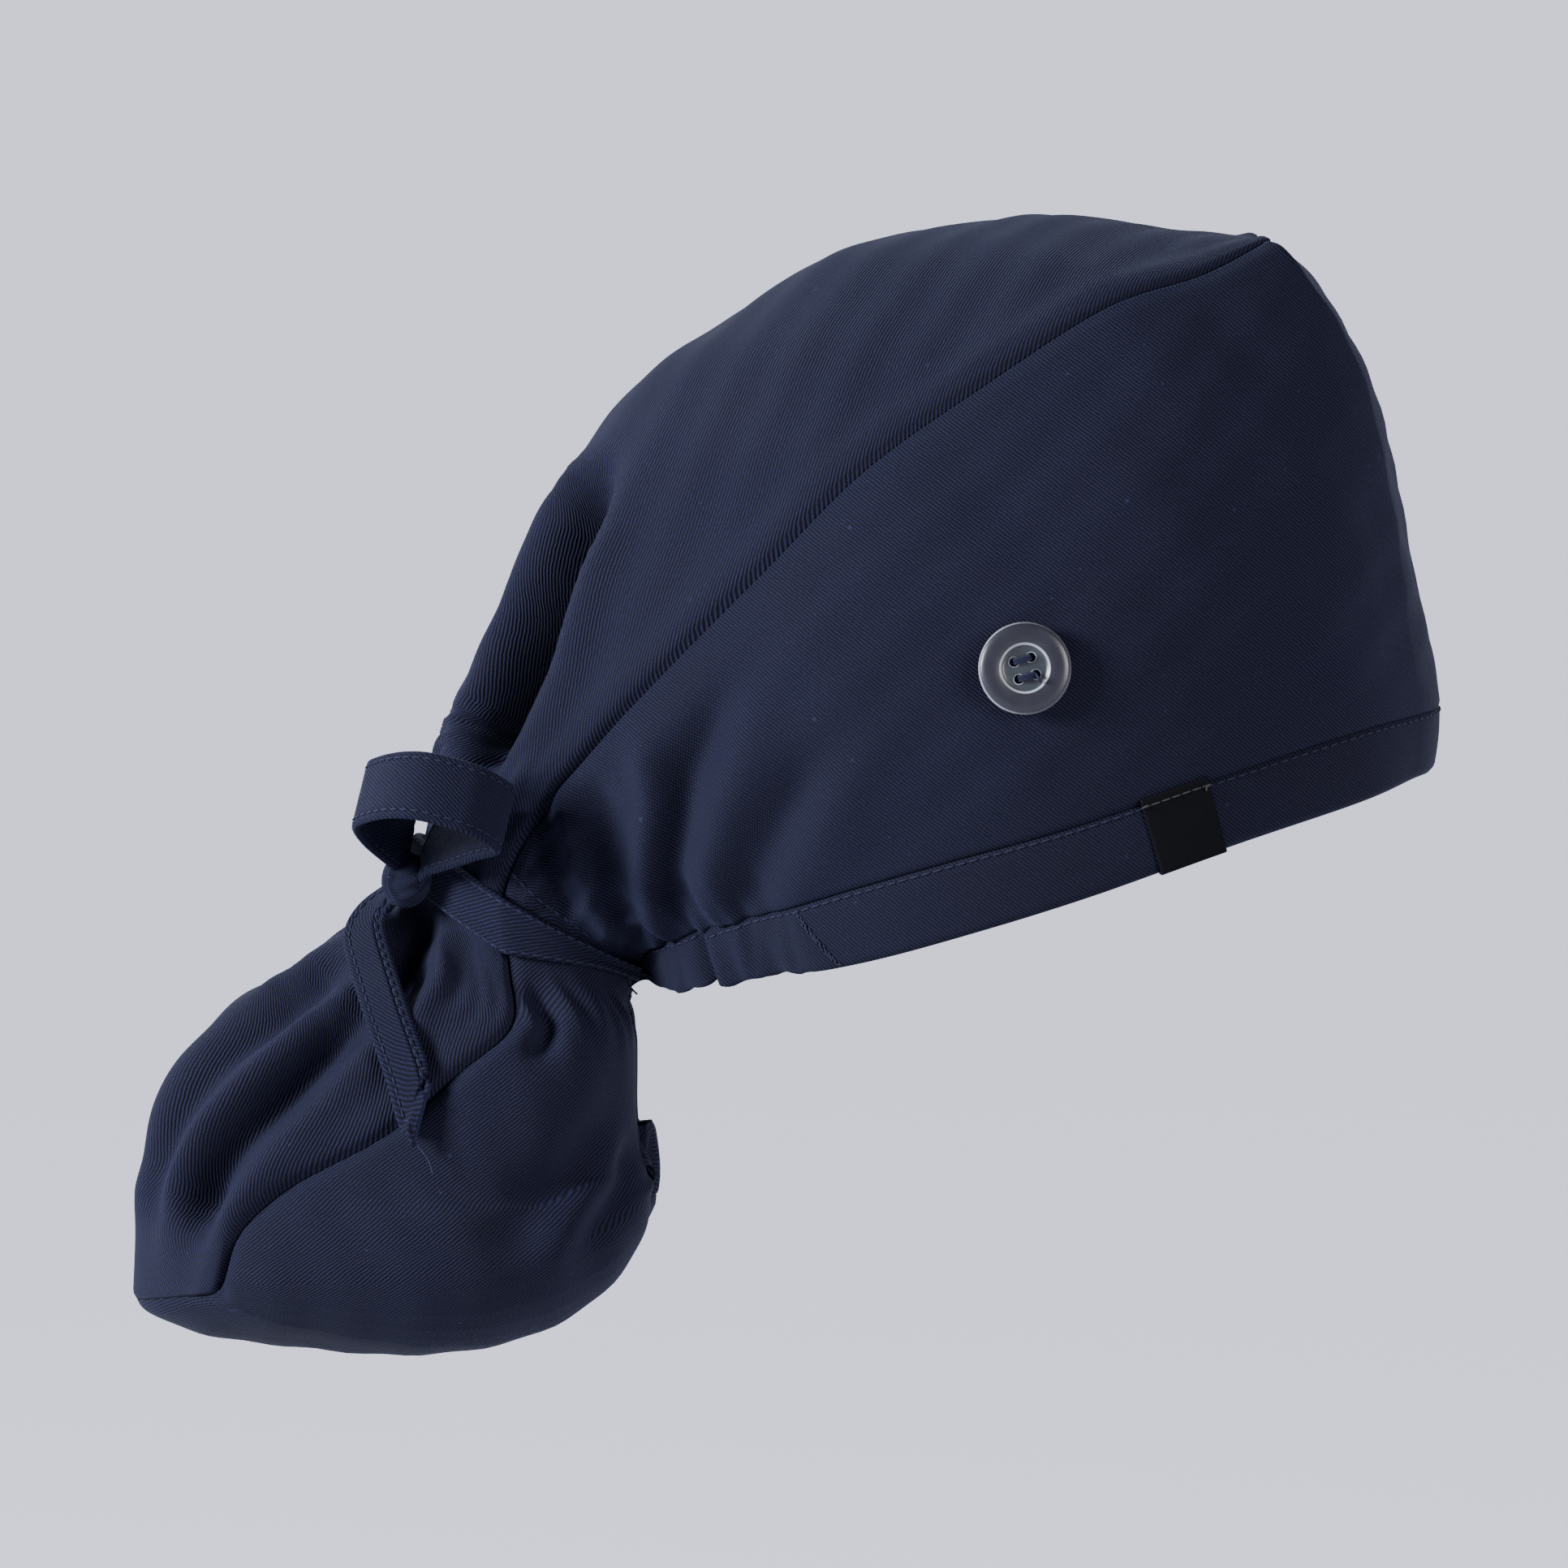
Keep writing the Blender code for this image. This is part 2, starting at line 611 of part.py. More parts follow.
def strap_mesh(name, rows, slant=0.0):
    """Flat strap through rows of middle, width and side direction, with a slanted end."""
    grid = []
    for i, (middle, width, side) in enumerate(rows):
        line = []
        for j in (-1, 0, 1):
            offset = side * (width * j / 2)
            if i == len(rows) - 1:
                offset += (middle - rows[-2][0]).normalized() * (slant * j / 2)
            line.append(middle + offset)
        grid.append(line)
    return grid_mesh(name, grid)


def knot_frame():
    """Middle of the knot, on the ties, with its outward direction."""
    normal = cloth_normal(KNOT_STATION, TIE_MEET)
    out = STRAP_LIFT + STRAP_WALL + CLEARANCE + KNOT_THICKNESS / 2
    return cloth_point(KNOT_STATION, TIE_MEET, 0) + normal * out, normal


def knot_mesh(name):
    """Rounded lump of wrapped strap, thinner outwards than across."""
    centre, normal = knot_frame()
    bm = bmesh.new()
    bmesh.ops.create_cube(bm, size=2)
    bmesh.ops.subdivide_edges(bm, edges=bm.edges, cuts=3, use_grid_fill=True)
    turn = normal.to_track_quat("Z", "Y").to_matrix()
    for vert in bm.verts:
        way = vert.co.normalized()
        waist = 1 - 0.06 * math.exp(-(way.x / 0.3) ** 2)
        shape = Vector((KNOT_RADIUS * waist * way.x, KNOT_RADIUS * waist * way.y,
                        KNOT_THICKNESS / 2 * way.z))
        vert.co = centre + turn @ shape
    mesh = bpy.data.meshes.new(name)
    bm.to_mesh(mesh)
    bm.free()
    mesh.shade_smooth()
    return mesh


def outside_knot(point):
    """Whether a place in a strap's middle layer is clear of the knot."""
    centre, normal = knot_frame()
    way = point - centre
    out = way.dot(normal)
    across = (way - normal * out).length
    room = CLEARANCE + STRAP_WALL * 0.1
    return (out / (KNOT_THICKNESS / 2 + room)) ** 2 + (across / (KNOT_RADIUS + room)) ** 2 > 1


def leave_knot(path, inside, outside):
    """Parameter at which a strap's whole width comes out of the knot, between two of them."""
    for _ in range(20):
        half = (inside + outside) / 2
        middle, width, side = path(half)
        if all(outside_knot(middle + side * (width * k / 4)) for k in (-2, -1, 0, 1, 2)):
            outside = half
        else:
            inside = half
    return outside


def loop_path(s):
    """Middle of the loop's strap at a place along it, its width and its side direction."""
    centre = knot_frame()[0]
    rows = [dict(zip(LOOP_COLUMNS, line)) for line in LOOP_TABLE]
    stations = list(range(len(rows)))
    place = smooth(stations, [Vector((row["forward"] * LOOP_LENGTH, -row["out"] * LOOP_REACH, 0))
                              for row in rows], s)
    place.z = -(place.x * LOOP_TIP.x + place.y * LOOP_TIP.y) / LOOP_TIP.z
    opened = ease(min(s, stations[-1] - s) / LOOP_OPENING)
    width = PINCHED_WIDTH + (STRAP_WIDTH - PINCHED_WIDTH) * opened
    lift = LOOP_TIP * (width / 2 - PINCHED_WIDTH / 2 * (1 - opened))
    return centre + place + lift, width, LOOP_TIP


def build_loop(material, collection):
    """Bow loop standing out of the knot."""
    last = len(LOOP_TABLE) - 1
    start = leave_knot(loop_path, 0, 2)
    stop = leave_knot(loop_path, last, last - 2)
    steps = last * LOOP_STEPS
    rows = [loop_path(start + (stop - start) * i / steps) for i in range(steps + 1)]
    part = new_object("bow_loop", strap_mesh("bow_loop", rows), material, collection)
    add_wall(part, STRAP_WALL, 0)


def tail_middle(table, s):
    """Place along a tail: its middle, its width and the cloth's outward direction there."""
    stations = list(range(len(table)))
    station, across, height, width = (
        smooth(stations, [row[i] for row in table], s) for i in range(len(TAIL_COLUMNS)))
    normal = cloth_normal(station, across)
    return plain_point(station, across) + normal * height * STRAP_WIDTH, width * STRAP_WIDTH, normal


def tail_path(table, s):
    """Middle of a tail at a place along it, its width and its side direction."""
    middle, width, normal = tail_middle(table, s)
    ahead = tail_middle(table, min(s + 0.6, len(table) - 1))[0]
    way = ahead - tail_middle(table, max(s - 0.6, 0))[0]
    return middle, width, normal.cross(way).normalized()


def build_tail(name, table, slant, material, collection):
    """Free end of a tie, from the knot down over the pouch, with a slanted end."""
    def path(s):
        return tail_path(table, s)
    last = len(table) - 1
    start = leave_knot(path, 0, 3)
    steps = last * TAIL_STEPS
    rows = [path(start + (last - start) * i / steps) for i in range(steps + 1)]
    part = new_object(name, strap_mesh(name, rows, slant), material, collection)
    add_wall(part, STRAP_WALL, 0)


def disc_profile():
    """Half section of the button from its middle to its rim and round the back."""
    half = BUTTON_DIAMETER / 2
    well = WELL_DIAMETER / 2
    low = BUTTON_THICKNESS - BUTTON_RIM
    return ((0, low), (well * 0.8, low), (well, low + BUTTON_RIM * 0.25),
            (well * 1.08, BUTTON_THICKNESS * 0.93), (half * 0.8, BUTTON_THICKNESS),
            (half * 0.95, BUTTON_THICKNESS * 0.86), (half, BUTTON_THICKNESS * 0.5),
            (half * 0.93, BUTTON_THICKNESS * 0.12), (half * 0.75, 0), (0, 0))


def button_matrix(left):
    """Place of a button: its back on the thread's shank, its face outwards."""
    station, across = BUTTON_PLACE
    if left:
        across = 4 - across
    normal = cloth_normal(station, across)
    origin = cloth_point(station, across) + normal * (CLEARANCE * 2 + SHANK_HEIGHT)
    up = Vector((0, 0, 1)) - normal * normal.z
    up.normalize()
    right = up.cross(normal)
    turn = Matrix((right, up, normal)).transposed().to_4x4()
    return Matrix.Translation(origin) @ turn @ Matrix.Rotation(-BUTTON_TURN, 4, "Z")


def turned_mesh(name, profile, sides):
    """Closed body turned about Z from a half section that starts and ends on the axis."""
    bm = bmesh.new()
    rings = []
    for radius, height in profile:
        if radius == 0:
            rings.append([bm.verts.new((0, 0, height))])
        else:
            rings.append([bm.verts.new((radius * math.cos(2 * math.pi * k / sides),
                                        radius * math.sin(2 * math.pi * k / sides), height))
                          for k in range(sides)])
    for inner, outer in zip(rings, rings[1:]):
        for k in range(sides):
            n = (k + 1) % sides
            loop = [inner[k % len(inner)], outer[k % len(outer)], outer[n % len(outer)],
                    inner[n % len(inner)]]
            face = []
            for vert in loop:
                if vert not in face:
                    face.append(vert)
            bm.faces.new(face)
    bmesh.ops.recalc_face_normals(bm, faces=bm.faces)
    mesh = bpy.data.meshes.new(name)
    bm.to_mesh(mesh)
    bm.free()
    return mesh


def hole_places():
    half = HOLE_SPACING / 2
    return [(x * half, y * half) for x in (-1, 1) for y in (-1, 1)]


def build_button(name, left, material, collection, cutters):
    """Four-hole button with a rounded rim and a sunk well."""
    part = new_object(name, turned_mesh(name, disc_profile(), 24), material, collection)
    part.matrix_world = button_matrix(left)
    part.data.shade_smooth()
    bm = bmesh.new()
    for x, y in hole_places():
        bmesh.ops.create_cone(bm, cap_ends=True, segments=8, radius1=HOLE_DIAMETER / 2,
                              radius2=HOLE_DIAMETER / 2, depth=BUTTON_THICKNESS * 3,
                              matrix=Matrix.Translation((x, y, BUTTON_THICKNESS / 2)))
    mesh = bpy.data.meshes.new(name + "_holes")
    bm.to_mesh(mesh)
    bm.free()
    holes = new_cutter(name + "_holes", mesh, cutters)
    holes.matrix_world = part.matrix_world
    drill = part.modifiers.new("Holes", "BOOLEAN")
    drill.operation = "DIFFERENCE"
    drill.object = holes


def new_cutter(name, mesh, collection):
    cutter = bpy.data.objects.new(name, mesh)
    cutter.hide_render = True
    cutter.display_type = "WIRE"
    collection.objects.link(cutter)
    return cutter


def build_thread(name, left, material, collection, cutters):
    """Sewing thread: a shank under the button and two bars that cross its well."""
    radius = THREAD_DIAMETER / 2
    half = HOLE_SPACING / 2
    top = BUTTON_THICKNESS - BUTTON_RIM + CLEARANCE + radius
    low = -CLEARANCE - SHANK_HEIGHT / 2
    reach = half + radius
    shank = bmesh.new()
    bmesh.ops.create_cone(shank, cap_ends=True, segments=16, radius1=reach + half, radius2=reach + half,
                          depth=SHANK_HEIGHT, matrix=Matrix.Translation((0, 0, low)))
    mesh = bpy.data.meshes.new(name)
    shank.to_mesh(mesh)
    shank.free()
    part = new_object(name, mesh, material, collection)
    part.matrix_world = button_matrix(left)
    for y in (-half, half):
        bm = bmesh.new()
        places = ((-half, low), (-half, top - radius), (-half + radius, top), (half - radius, top),
                  (half, top - radius), (half, low))
        rings = []
        for i, (x, z) in enumerate(places):
            before = places[max(i - 1, 0)]
            after = places[min(i + 1, len(places) - 1)]
            way = Vector((after[0] - before[0], 0, after[1] - before[1])).normalized()
            side = Vector((0, 1, 0))
            over = way.cross(side)
            rings.append([bm.verts.new(Vector((x, y, z)) + side * radius * math.cos(k * math.pi / 4)
                                       + over * radius * math.sin(k * math.pi / 4))
                          for k in range(8)])
        for a, b in zip(rings, rings[1:]):
            for k in range(8):
                bm.faces.new((a[k], b[k], b[(k + 1) % 8], a[(k + 1) % 8]))
        bm.faces.new(rings[0])
        bm.faces.new(rings[-1])
        bmesh.ops.recalc_face_normals(bm, faces=bm.faces)
        bar_mesh = bpy.data.meshes.new(name + "_bar")
        bm.to_mesh(bar_mesh)
        bm.free()
        bar = new_cutter(name + ("_low" if y < 0 else "_high"), bar_mesh, cutters)
        bar.matrix_world = part.matrix_world
        join = part.modifiers.new("Bar", "BOOLEAN")
        join.operation = "UNION"
        join.object = bar


def build_label(material, collection):
    """Woven ribbon folded over the hem's lower edge, its face on the outside."""
    columns = 3
    outside = LABEL_WALL / 2 + LABEL_GAP
    inside = HEM_WALL + LABEL_GAP + LABEL_WALL / 2
    step = LABEL_WIDTH / HEM_STATION_LENGTH
    grid = []
    for i in range(columns + 1):
        station = LABEL_STATION + step * (0.5 - i / columns)
        normal = bag_normal(station, 0.05)
        fall = side_value("fall", station)
        down = fall.normalized()
        reach = LABEL_HEIGHT / fall.length
        turn = HEM_WALL / 2 + outside
        row = [hem_point(station, reach * (1 - k / 5)) + normal * outside for k in range(6)]
        edge = hem_point(station, 0) - normal * (HEM_WALL / 2)
        for k in range(1, 6):
            angle = math.pi * k / 6
            row.append(edge + normal * (turn * math.cos(angle)) + down * (turn * math.sin(angle)))
        row += [hem_point(station, reach * k / 5) - normal * inside for k in range(6)]
        grid.append(row)
    part = new_object("label", grid_mesh("label", grid), material, collection)
    add_wall(part, LABEL_WALL, 0)


def clear_scene():
    for item in list(bpy.data.objects):
        bpy.data.objects.remove(item, do_unlink=True)


def main():
    clear_scene()
    cap = bpy.data.collections.new("scrub_cap")
    cutters = bpy.data.collections.new("cutters")
    bpy.context.scene.collection.children.link(cap)
    bpy.context.scene.collection.children.link(cutters)
    navy = new_material("navy_twill", (0.020, 0.026, 0.060), 0.9)
    smoke = new_material("smoke_plastic", (0.30, 0.31, 0.36), 0.25, 0.55)
    thread = new_material("navy_thread", (0.015, 0.018, 0.040), 0.8)
    woven = new_material("charcoal_ribbon", (0.09, 0.09, 0.11), 0.85)
    build_side_panel(navy, cap)
    build_top_panel(navy, cap)
    build_hem_band(navy, cap)
    build_tie("tie_right", TIE_START, TIE_MEET - TIE_END_GAP, navy, cap)
    build_tie("tie_left", 4 - TIE_START, TIE_MEET + TIE_END_GAP, navy, cap)
    new_object("knot", knot_mesh("knot"), navy, cap)
    build_loop(navy, cap)
    build_tail("tail_right", TAIL_RIGHT, -TAIL_SLANT, navy, cap)
    build_tail("tail_left", TAIL_LEFT, TAIL_SLANT, navy, cap)
    for side in ("right", "left"):
        build_button("button_" + side, side == "left", smoke, cap, cutters)
        build_thread("thread_" + side, side == "left", thread, cap, cutters)
    build_label(woven, cap)


main()
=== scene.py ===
"""Looks of the scrub cap: its cloth, hems, straps, stitches, buttons and label, in studio light.

+X points to the brow, +Y to the wearer's left, +Z up, in metres. The camera looks along +Y.
"""

import math

import bmesh
import bpy
import numpy as np
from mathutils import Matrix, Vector


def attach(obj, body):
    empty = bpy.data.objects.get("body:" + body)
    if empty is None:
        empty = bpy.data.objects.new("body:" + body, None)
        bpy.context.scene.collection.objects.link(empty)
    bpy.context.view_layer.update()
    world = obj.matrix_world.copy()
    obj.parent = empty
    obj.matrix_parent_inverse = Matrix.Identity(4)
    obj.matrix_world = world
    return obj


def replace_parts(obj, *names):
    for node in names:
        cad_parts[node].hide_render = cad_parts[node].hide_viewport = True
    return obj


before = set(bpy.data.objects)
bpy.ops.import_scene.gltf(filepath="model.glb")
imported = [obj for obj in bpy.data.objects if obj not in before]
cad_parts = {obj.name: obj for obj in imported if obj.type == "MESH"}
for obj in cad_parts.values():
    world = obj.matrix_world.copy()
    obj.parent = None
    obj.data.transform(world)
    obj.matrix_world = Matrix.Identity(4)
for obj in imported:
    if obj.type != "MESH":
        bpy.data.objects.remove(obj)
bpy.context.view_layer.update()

# Side panel
# Navy twill cut in one strip that runs from the brow round both sides, through the cinched neck
# and round the pouch. It is sewn to the top panel along its upper edge and gathered at the neck.

# Head opening and crown
HEAD_LENGTH = 0.200
HEAD_WIDTH = 0.164
CROWN_HEIGHT = 0.168

# Cinched neck behind the head, and the pouch that hangs from it
NECK_LENGTH = 0.060
NECK_WIDTH = 0.055
NECK_SETBACK = 0.032
NECK_BELOW = 0.012
POUCH_LENGTH = 0.100
POUCH_WIDTH = 0.084
POUCH_DROP = 0.111

NECK = np.array((-(HEAD_LENGTH / 2 + NECK_SETBACK), 0, -NECK_BELOW))

# Cloth, the hem's height, and the height and width of a fold whose shares are 1
CLOTH = 0.0012
HEM_HEIGHT = 0.0185
FOLD_HEIGHT = 0.006
FOLD_WIDTH = 0.012

# Ribs: a row for each rib, from the brow centre round to the bottom of the pouch. The stitch
# point is where the rib leaves the hem, and the fall leads from there to the hem's lower edge, in
# shares of the hem's height. The bulge pushes the rib outwards, full or pointed, and skewed to the
# hem (plus) or the seam (minus). Other lengths are shares of the sizes of the row's zone.
SIDE_COLUMNS = ("station", "zone", "x", "y", "z", "fall_x", "fall_y", "fall_z",
                "bulge", "fullness", "skew")
SIDE_TABLE = (
    (0.0, "crown", 0.513, 0.000, 0.261, -0.08, 0.00, -0.85, 0.134, 0.70, -0.52),
    (0.5, "crown", 0.505, 0.207, 0.258, -0.06, 0.02, -0.86, 0.134, 0.70, -0.48),
    (1.0, "crown", 0.478, 0.378, 0.254, -0.02, 0.03, -0.87, 0.140, 0.70, -0.36),
    (2.0, "crown", 0.388, 0.658, 0.235, 0.13, 0.10, -0.95, 0.146, 0.75, -0.15),
    (3.0, "crown", 0.210, 0.908, 0.175, 0.24, 0.08, -0.92, 0.134, 0.80, 0.00),
    (4.0, "crown", 0.030, 1.000, 0.106, 0.30, 0.05, -0.93, 0.122, 0.80, 0.00),
    (5.0, "crown", -0.120, 0.982, 0.055, 0.30, 0.05, -0.98, 0.110, 0.80, 0.00),
    (6.0, "crown", -0.250, 0.866, 0.006, 0.27, 0.05, -0.97, 0.098, 0.80, 0.00),
    (7.0, "crown", -0.362, 0.658, -0.042, 0.24, 0.05, -0.82, 0.085, 0.80, 0.00),
    (8.0, "crown", -0.435, 0.439, -0.074, 0.20, 0.00, -0.74, 0.073, 0.80, 0.00),
    (9.0, "crown", -0.480, 0.256, -0.098, 0.15, 0.00, -0.68, 0.066, 0.80, 0.00),
    (10.0, "neck", 0.508, 0.340, -0.158, 0.04, 0.00, -0.32, 0.218, 0.80, 0.00),
    (11.0, "neck", 0.458, 0.330, -0.325, -0.16, 0.02, -0.14, 0.218, 0.80, 0.00),
    (12.0, "pouch", 0.288, 0.215, -0.252, -0.36, 0.02, -0.02, 0.240, 0.70, 0.00),
    (13.0, "pouch", 0.290, 0.205, -0.342, -0.60, 0.05, 0.00, 0.340, 0.68, 0.05),
    (14.0, "pouch", 0.290, 0.200, -0.423, -0.75, 0.05, 0.05, 0.450, 0.66, 0.10),
    (15.0, "pouch", 0.300, 0.190, -0.510, -0.62, 0.05, 0.15, 0.572, 0.66, 0.15),
    (16.0, "pouch", 0.322, 0.180, -0.580, -0.45, 0.05, 0.50, 0.640, 0.64, 0.20),
    (17.0, "pouch", 0.335, 0.150, -0.625, -0.12, 0.02, 0.92, 0.676, 0.64, 0.22),
    (18.0, "pouch", 0.338, 0.000, -0.634, 0.00, 0.00, 1.00, 0.676, 0.64, 0.22),
)

# Arches: a row for each one across the top panel, at the side panel's stations, from the brow seam
# to the end seam of the pouch. It rises from the seam to the ridge, flatter with a higher roundness.
TOP_COLUMNS = ("station", "zone", "x", "y", "z", "ridge_x", "ridge_z", "roundness")
TOP_TABLE = (
    (1.0, "crown", 0.286, 0.451, 0.972, 0.286, 0.966, 3.0),
    (2.0, "crown", 0.200, 0.573, 0.921, 0.165, 0.985, 2.4),
    (3.0, "crown", 0.075, 0.683, 0.871, -0.030, 0.999, 2.1),
    (4.0, "crown", -0.082, 0.732, 0.752, -0.225, 0.958, 2.0),
    (5.0, "crown", -0.227, 0.744, 0.629, -0.410, 0.840, 2.0),
    (6.0, "crown", -0.352, 0.713, 0.479, -0.540, 0.708, 2.0),
    (7.0, "crown", -0.477, 0.610, 0.326, -0.636, 0.542, 2.0),
    (8.0, "crown", -0.575, 0.476, 0.196, -0.707, 0.348, 2.0),
    (9.0, "crown", -0.635, 0.378, 0.101, -0.762, 0.211, 2.0),
    (10.0, "neck", -0.070, 0.960, 0.140, -0.417, 0.367, 2.0),
    (11.0, "neck", -0.042, 1.018, -0.167, -0.500, 0.117, 2.0),
    (12.0, "pouch", -0.018, 0.798, -0.213, -0.420, -0.009, 2.0),
    (13.0, "pouch", -0.140, 0.893, -0.311, -0.555, -0.086, 2.0),
    (14.0, "pouch", -0.330, 0.917, -0.457, -0.770, -0.216, 2.0),
    (15.0, "pouch", -0.580, 0.881, -0.584, -0.930, -0.400, 1.9),
    (16.0, "pouch", -0.710, 0.845, -0.708, -0.993, -0.640, 1.8),
    (17.0, "pouch", -0.765, 0.786, -0.829, -1.004, -0.878, 1.7),
)

# Folds: each runs over three places on the bag, given by station and by how far across it lies
# (0 hem, 1 seam, 2 ridge). Width and height are shares of the fold sizes; a valley is minus.
FOLD_COLUMNS = ("side", "from_station", "from_across", "over_station", "over_across",
                "to_station", "to_across", "width", "height")
FOLD_TABLE = (
    # Back of the crown: a folded ridge with a deep hollow in front of it
    ("right", 6.2, 1.88, 7.7, 1.68, 9.3, 1.66, 0.50, 0.75),
    ("right", 6.2, 1.66, 7.6, 1.45, 9.2, 1.37, 0.46, -2.30),
    ("right", 7.2, 1.50, 8.2, 1.42, 9.3, 1.38, 0.40, -0.60),
    ("right", 6.3, 1.50, 7.6, 1.27, 9.3, 1.17, 0.55, 0.60),
    # Waist: folds drawn from the side towards the elastic and the neck
    ("right", 8.0, 0.92, 8.3, 0.52, 9.3, 0.06, 0.46, -0.50),
    ("right", 7.4, 0.92, 7.6, 0.48, 9.1, 0.05, 0.52, 0.85),
    ("right", 6.3, 0.80, 7.3, 0.46, 8.1, 0.02, 0.52, -0.80),
    ("right", 6.0, 0.60, 6.9, 0.36, 7.5, 0.02, 0.60, 0.60),
    ("right", 5.8, 0.40, 6.5, 0.20, 7.2, 0.00, 0.55, -0.60),
    ("right", 5.2, 0.30, 6.1, 0.15, 6.7, 0.00, 0.70, 0.30),
    ("right", 8.5, 0.98, 8.9, 0.62, 9.6, 0.25, 0.40, 0.50),
    ("right", 8.8, 1.10, 9.2, 0.80, 9.8, 0.45, 0.35, -0.55),
    # Pouch: two long folds over its back, the hollow between them, and hooks below the neck
    ("right", 12.4, 1.84, 14.4, 1.72, 16.6, 1.74, 0.55, 0.40),
    ("right", 12.5, 1.62, 14.5, 1.56, 16.4, 1.62, 0.55, -0.90),
    ("right", 12.6, 1.48, 14.6, 1.45, 16.3, 1.50, 0.50, 0.85),
    ("right", 12.6, 1.37, 14.7, 1.29, 16.3, 1.25, 0.45, -1.50),
    ("right", 12.9, 1.25, 14.8, 1.12, 16.3, 1.05, 0.50, 0.80),
    ("right", 11.1, 1.36, 12.1, 1.27, 13.3, 1.14, 0.34, 0.55),
    ("right", 11.1, 1.60, 11.9, 1.46, 12.8, 1.33, 0.50, -1.30),
    ("right", 11.2, 0.92, 11.9, 0.82, 12.5, 0.86, 0.30, -0.80),
    ("right", 13.2, 0.24, 15.0, 0.34, 16.8, 0.46, 0.60, -0.34),
    ("right", 13.8, 0.12, 15.4, 0.22, 16.8, 0.33, 0.50, 0.45),
    ("right", 14.6, 0.05, 15.9, 0.12, 16.9, 0.22, 0.45, -0.60),
    # The far side, folded in the same way but not alike
    ("left", 6.2, 1.80, 7.6, 1.66, 9.2, 1.60, 0.70, 0.50),
    ("left", 6.5, 1.60, 7.8, 1.39, 9.2, 1.27, 0.60, -1.10),
    ("left", 7.1, 0.86, 7.9, 0.45, 9.0, 0.05, 0.60, -1.00),
    ("left", 6.4, 0.66, 7.2, 0.35, 8.2, 0.03, 0.60, 0.60),
    ("left", 5.6, 0.42, 6.4, 0.22, 7.3, 0.00, 0.70, -0.60),
    ("left", 8.3, 0.92, 8.7, 0.50, 9.4, 0.08, 0.50, 0.55),
    ("left", 12.7, 1.53, 14.4, 1.38, 16.3, 1.34, 0.55, -1.40),
    ("left", 12.8, 1.36, 14.6, 1.21, 16.3, 1.15, 0.55, 0.80),
    ("left", 12.5, 0.72, 14.2, 0.62, 16.2, 0.72, 0.60, -0.90),
    ("left", 13.4, 0.44, 15.0, 0.38, 16.8, 0.50, 0.60, 0.60),
    ("left", 14.0, 0.12, 15.6, 0.14, 16.9, 0.20, 0.50, -0.60),
    ("left", 11.3, 1.31, 12.2, 1.22, 13.3, 1.09, 0.45, -0.80),
)
# Legs of half a fold, and how far a fold fades at its ends, at the ridge and at the middle stations
FOLD_SAMPLES = 12
FOLD_FADE = 0.25
RIDGE_FADE = 0.14
CENTRE_FADE = 0.9

# Stations of the top panel's ends, of the panel's end and of the knot, and the button's place:
# station and across
FIRST = TOP_TABLE[0][0]
LAST = TOP_TABLE[-1][0]
END = SIDE_TABLE[-1][0]
KNOT_STATION = 10.5
BUTTON_PLACE = (4.10, 0.36)

# Factors that keep a point on the right half or mirror it to the left
RIGHT_WAY = np.array((1, 1, 1))
LEFT_WAY = np.array((1, -1, 1))


def placed(zone, x, y, z):
    """Point of the right half from shares of its zone's sizes."""
    if zone == "crown":
        return np.array((x * HEAD_LENGTH, -y * HEAD_WIDTH / 2, z * CROWN_HEIGHT))
    if zone == "neck":
        return NECK + np.array((x * NECK_LENGTH, -y * NECK_WIDTH / 2, z * NECK_LENGTH))
    return NECK + np.array((x * POUCH_LENGTH, -y * POUCH_WIDTH / 2, z * POUCH_DROP))


def column(columns, table, *names):
    return np.array([[dict(zip(columns, line))[name] for name in names] for line in table], float)


def places(columns, table, x, y, z):
    """Points of a table, each from its zone and three of its columns."""
    found = []
    for line in table:
        row = dict(zip(columns, line))
        found.append(placed(row["zone"], row[x], row[y] if y else 0, row[z]))
    return np.array(found)


def mirror_ends(values, flip):
    """A row before the first and after the last, mirrored, so that the curve runs on smoothly."""
    way = LEFT_WAY if flip else 1
    return np.vstack((values[1] * way, values, values[-2] * way))


side_knots = column(SIDE_COLUMNS, SIDE_TABLE, "station")[:, 0]
SIDE_KNOTS = np.concatenate(([-side_knots[1]], side_knots, [2 * END - side_knots[-2]]))
STITCH = mirror_ends(places(SIDE_COLUMNS, SIDE_TABLE, "x", "y", "z"), True)
FALL = column(SIDE_COLUMNS, SIDE_TABLE, "fall_x", "fall_y", "fall_z") * HEM_HEIGHT
FALL = np.vstack((FALL[1], FALL, FALL[-2] * LEFT_WAY))
HALF_WIDTHS = {"crown": HEAD_WIDTH / 2, "neck": NECK_WIDTH / 2, "pouch": POUCH_WIDTH / 2}
BULGE = column(SIDE_COLUMNS, SIDE_TABLE, "bulge", "fullness", "skew")
BULGE[:, 0] *= [HALF_WIDTHS[line[1]] for line in SIDE_TABLE]
BULGE = mirror_ends(BULGE, False)
TOP_KNOTS = column(TOP_COLUMNS, TOP_TABLE, "station")[:, 0]
SEAM = places(TOP_COLUMNS, TOP_TABLE, "x", "y", "z")
RIDGE = places(TOP_COLUMNS, TOP_TABLE, "ridge_x", None, "ridge_z")
ROUNDNESS = column(TOP_COLUMNS, TOP_TABLE, "roundness")


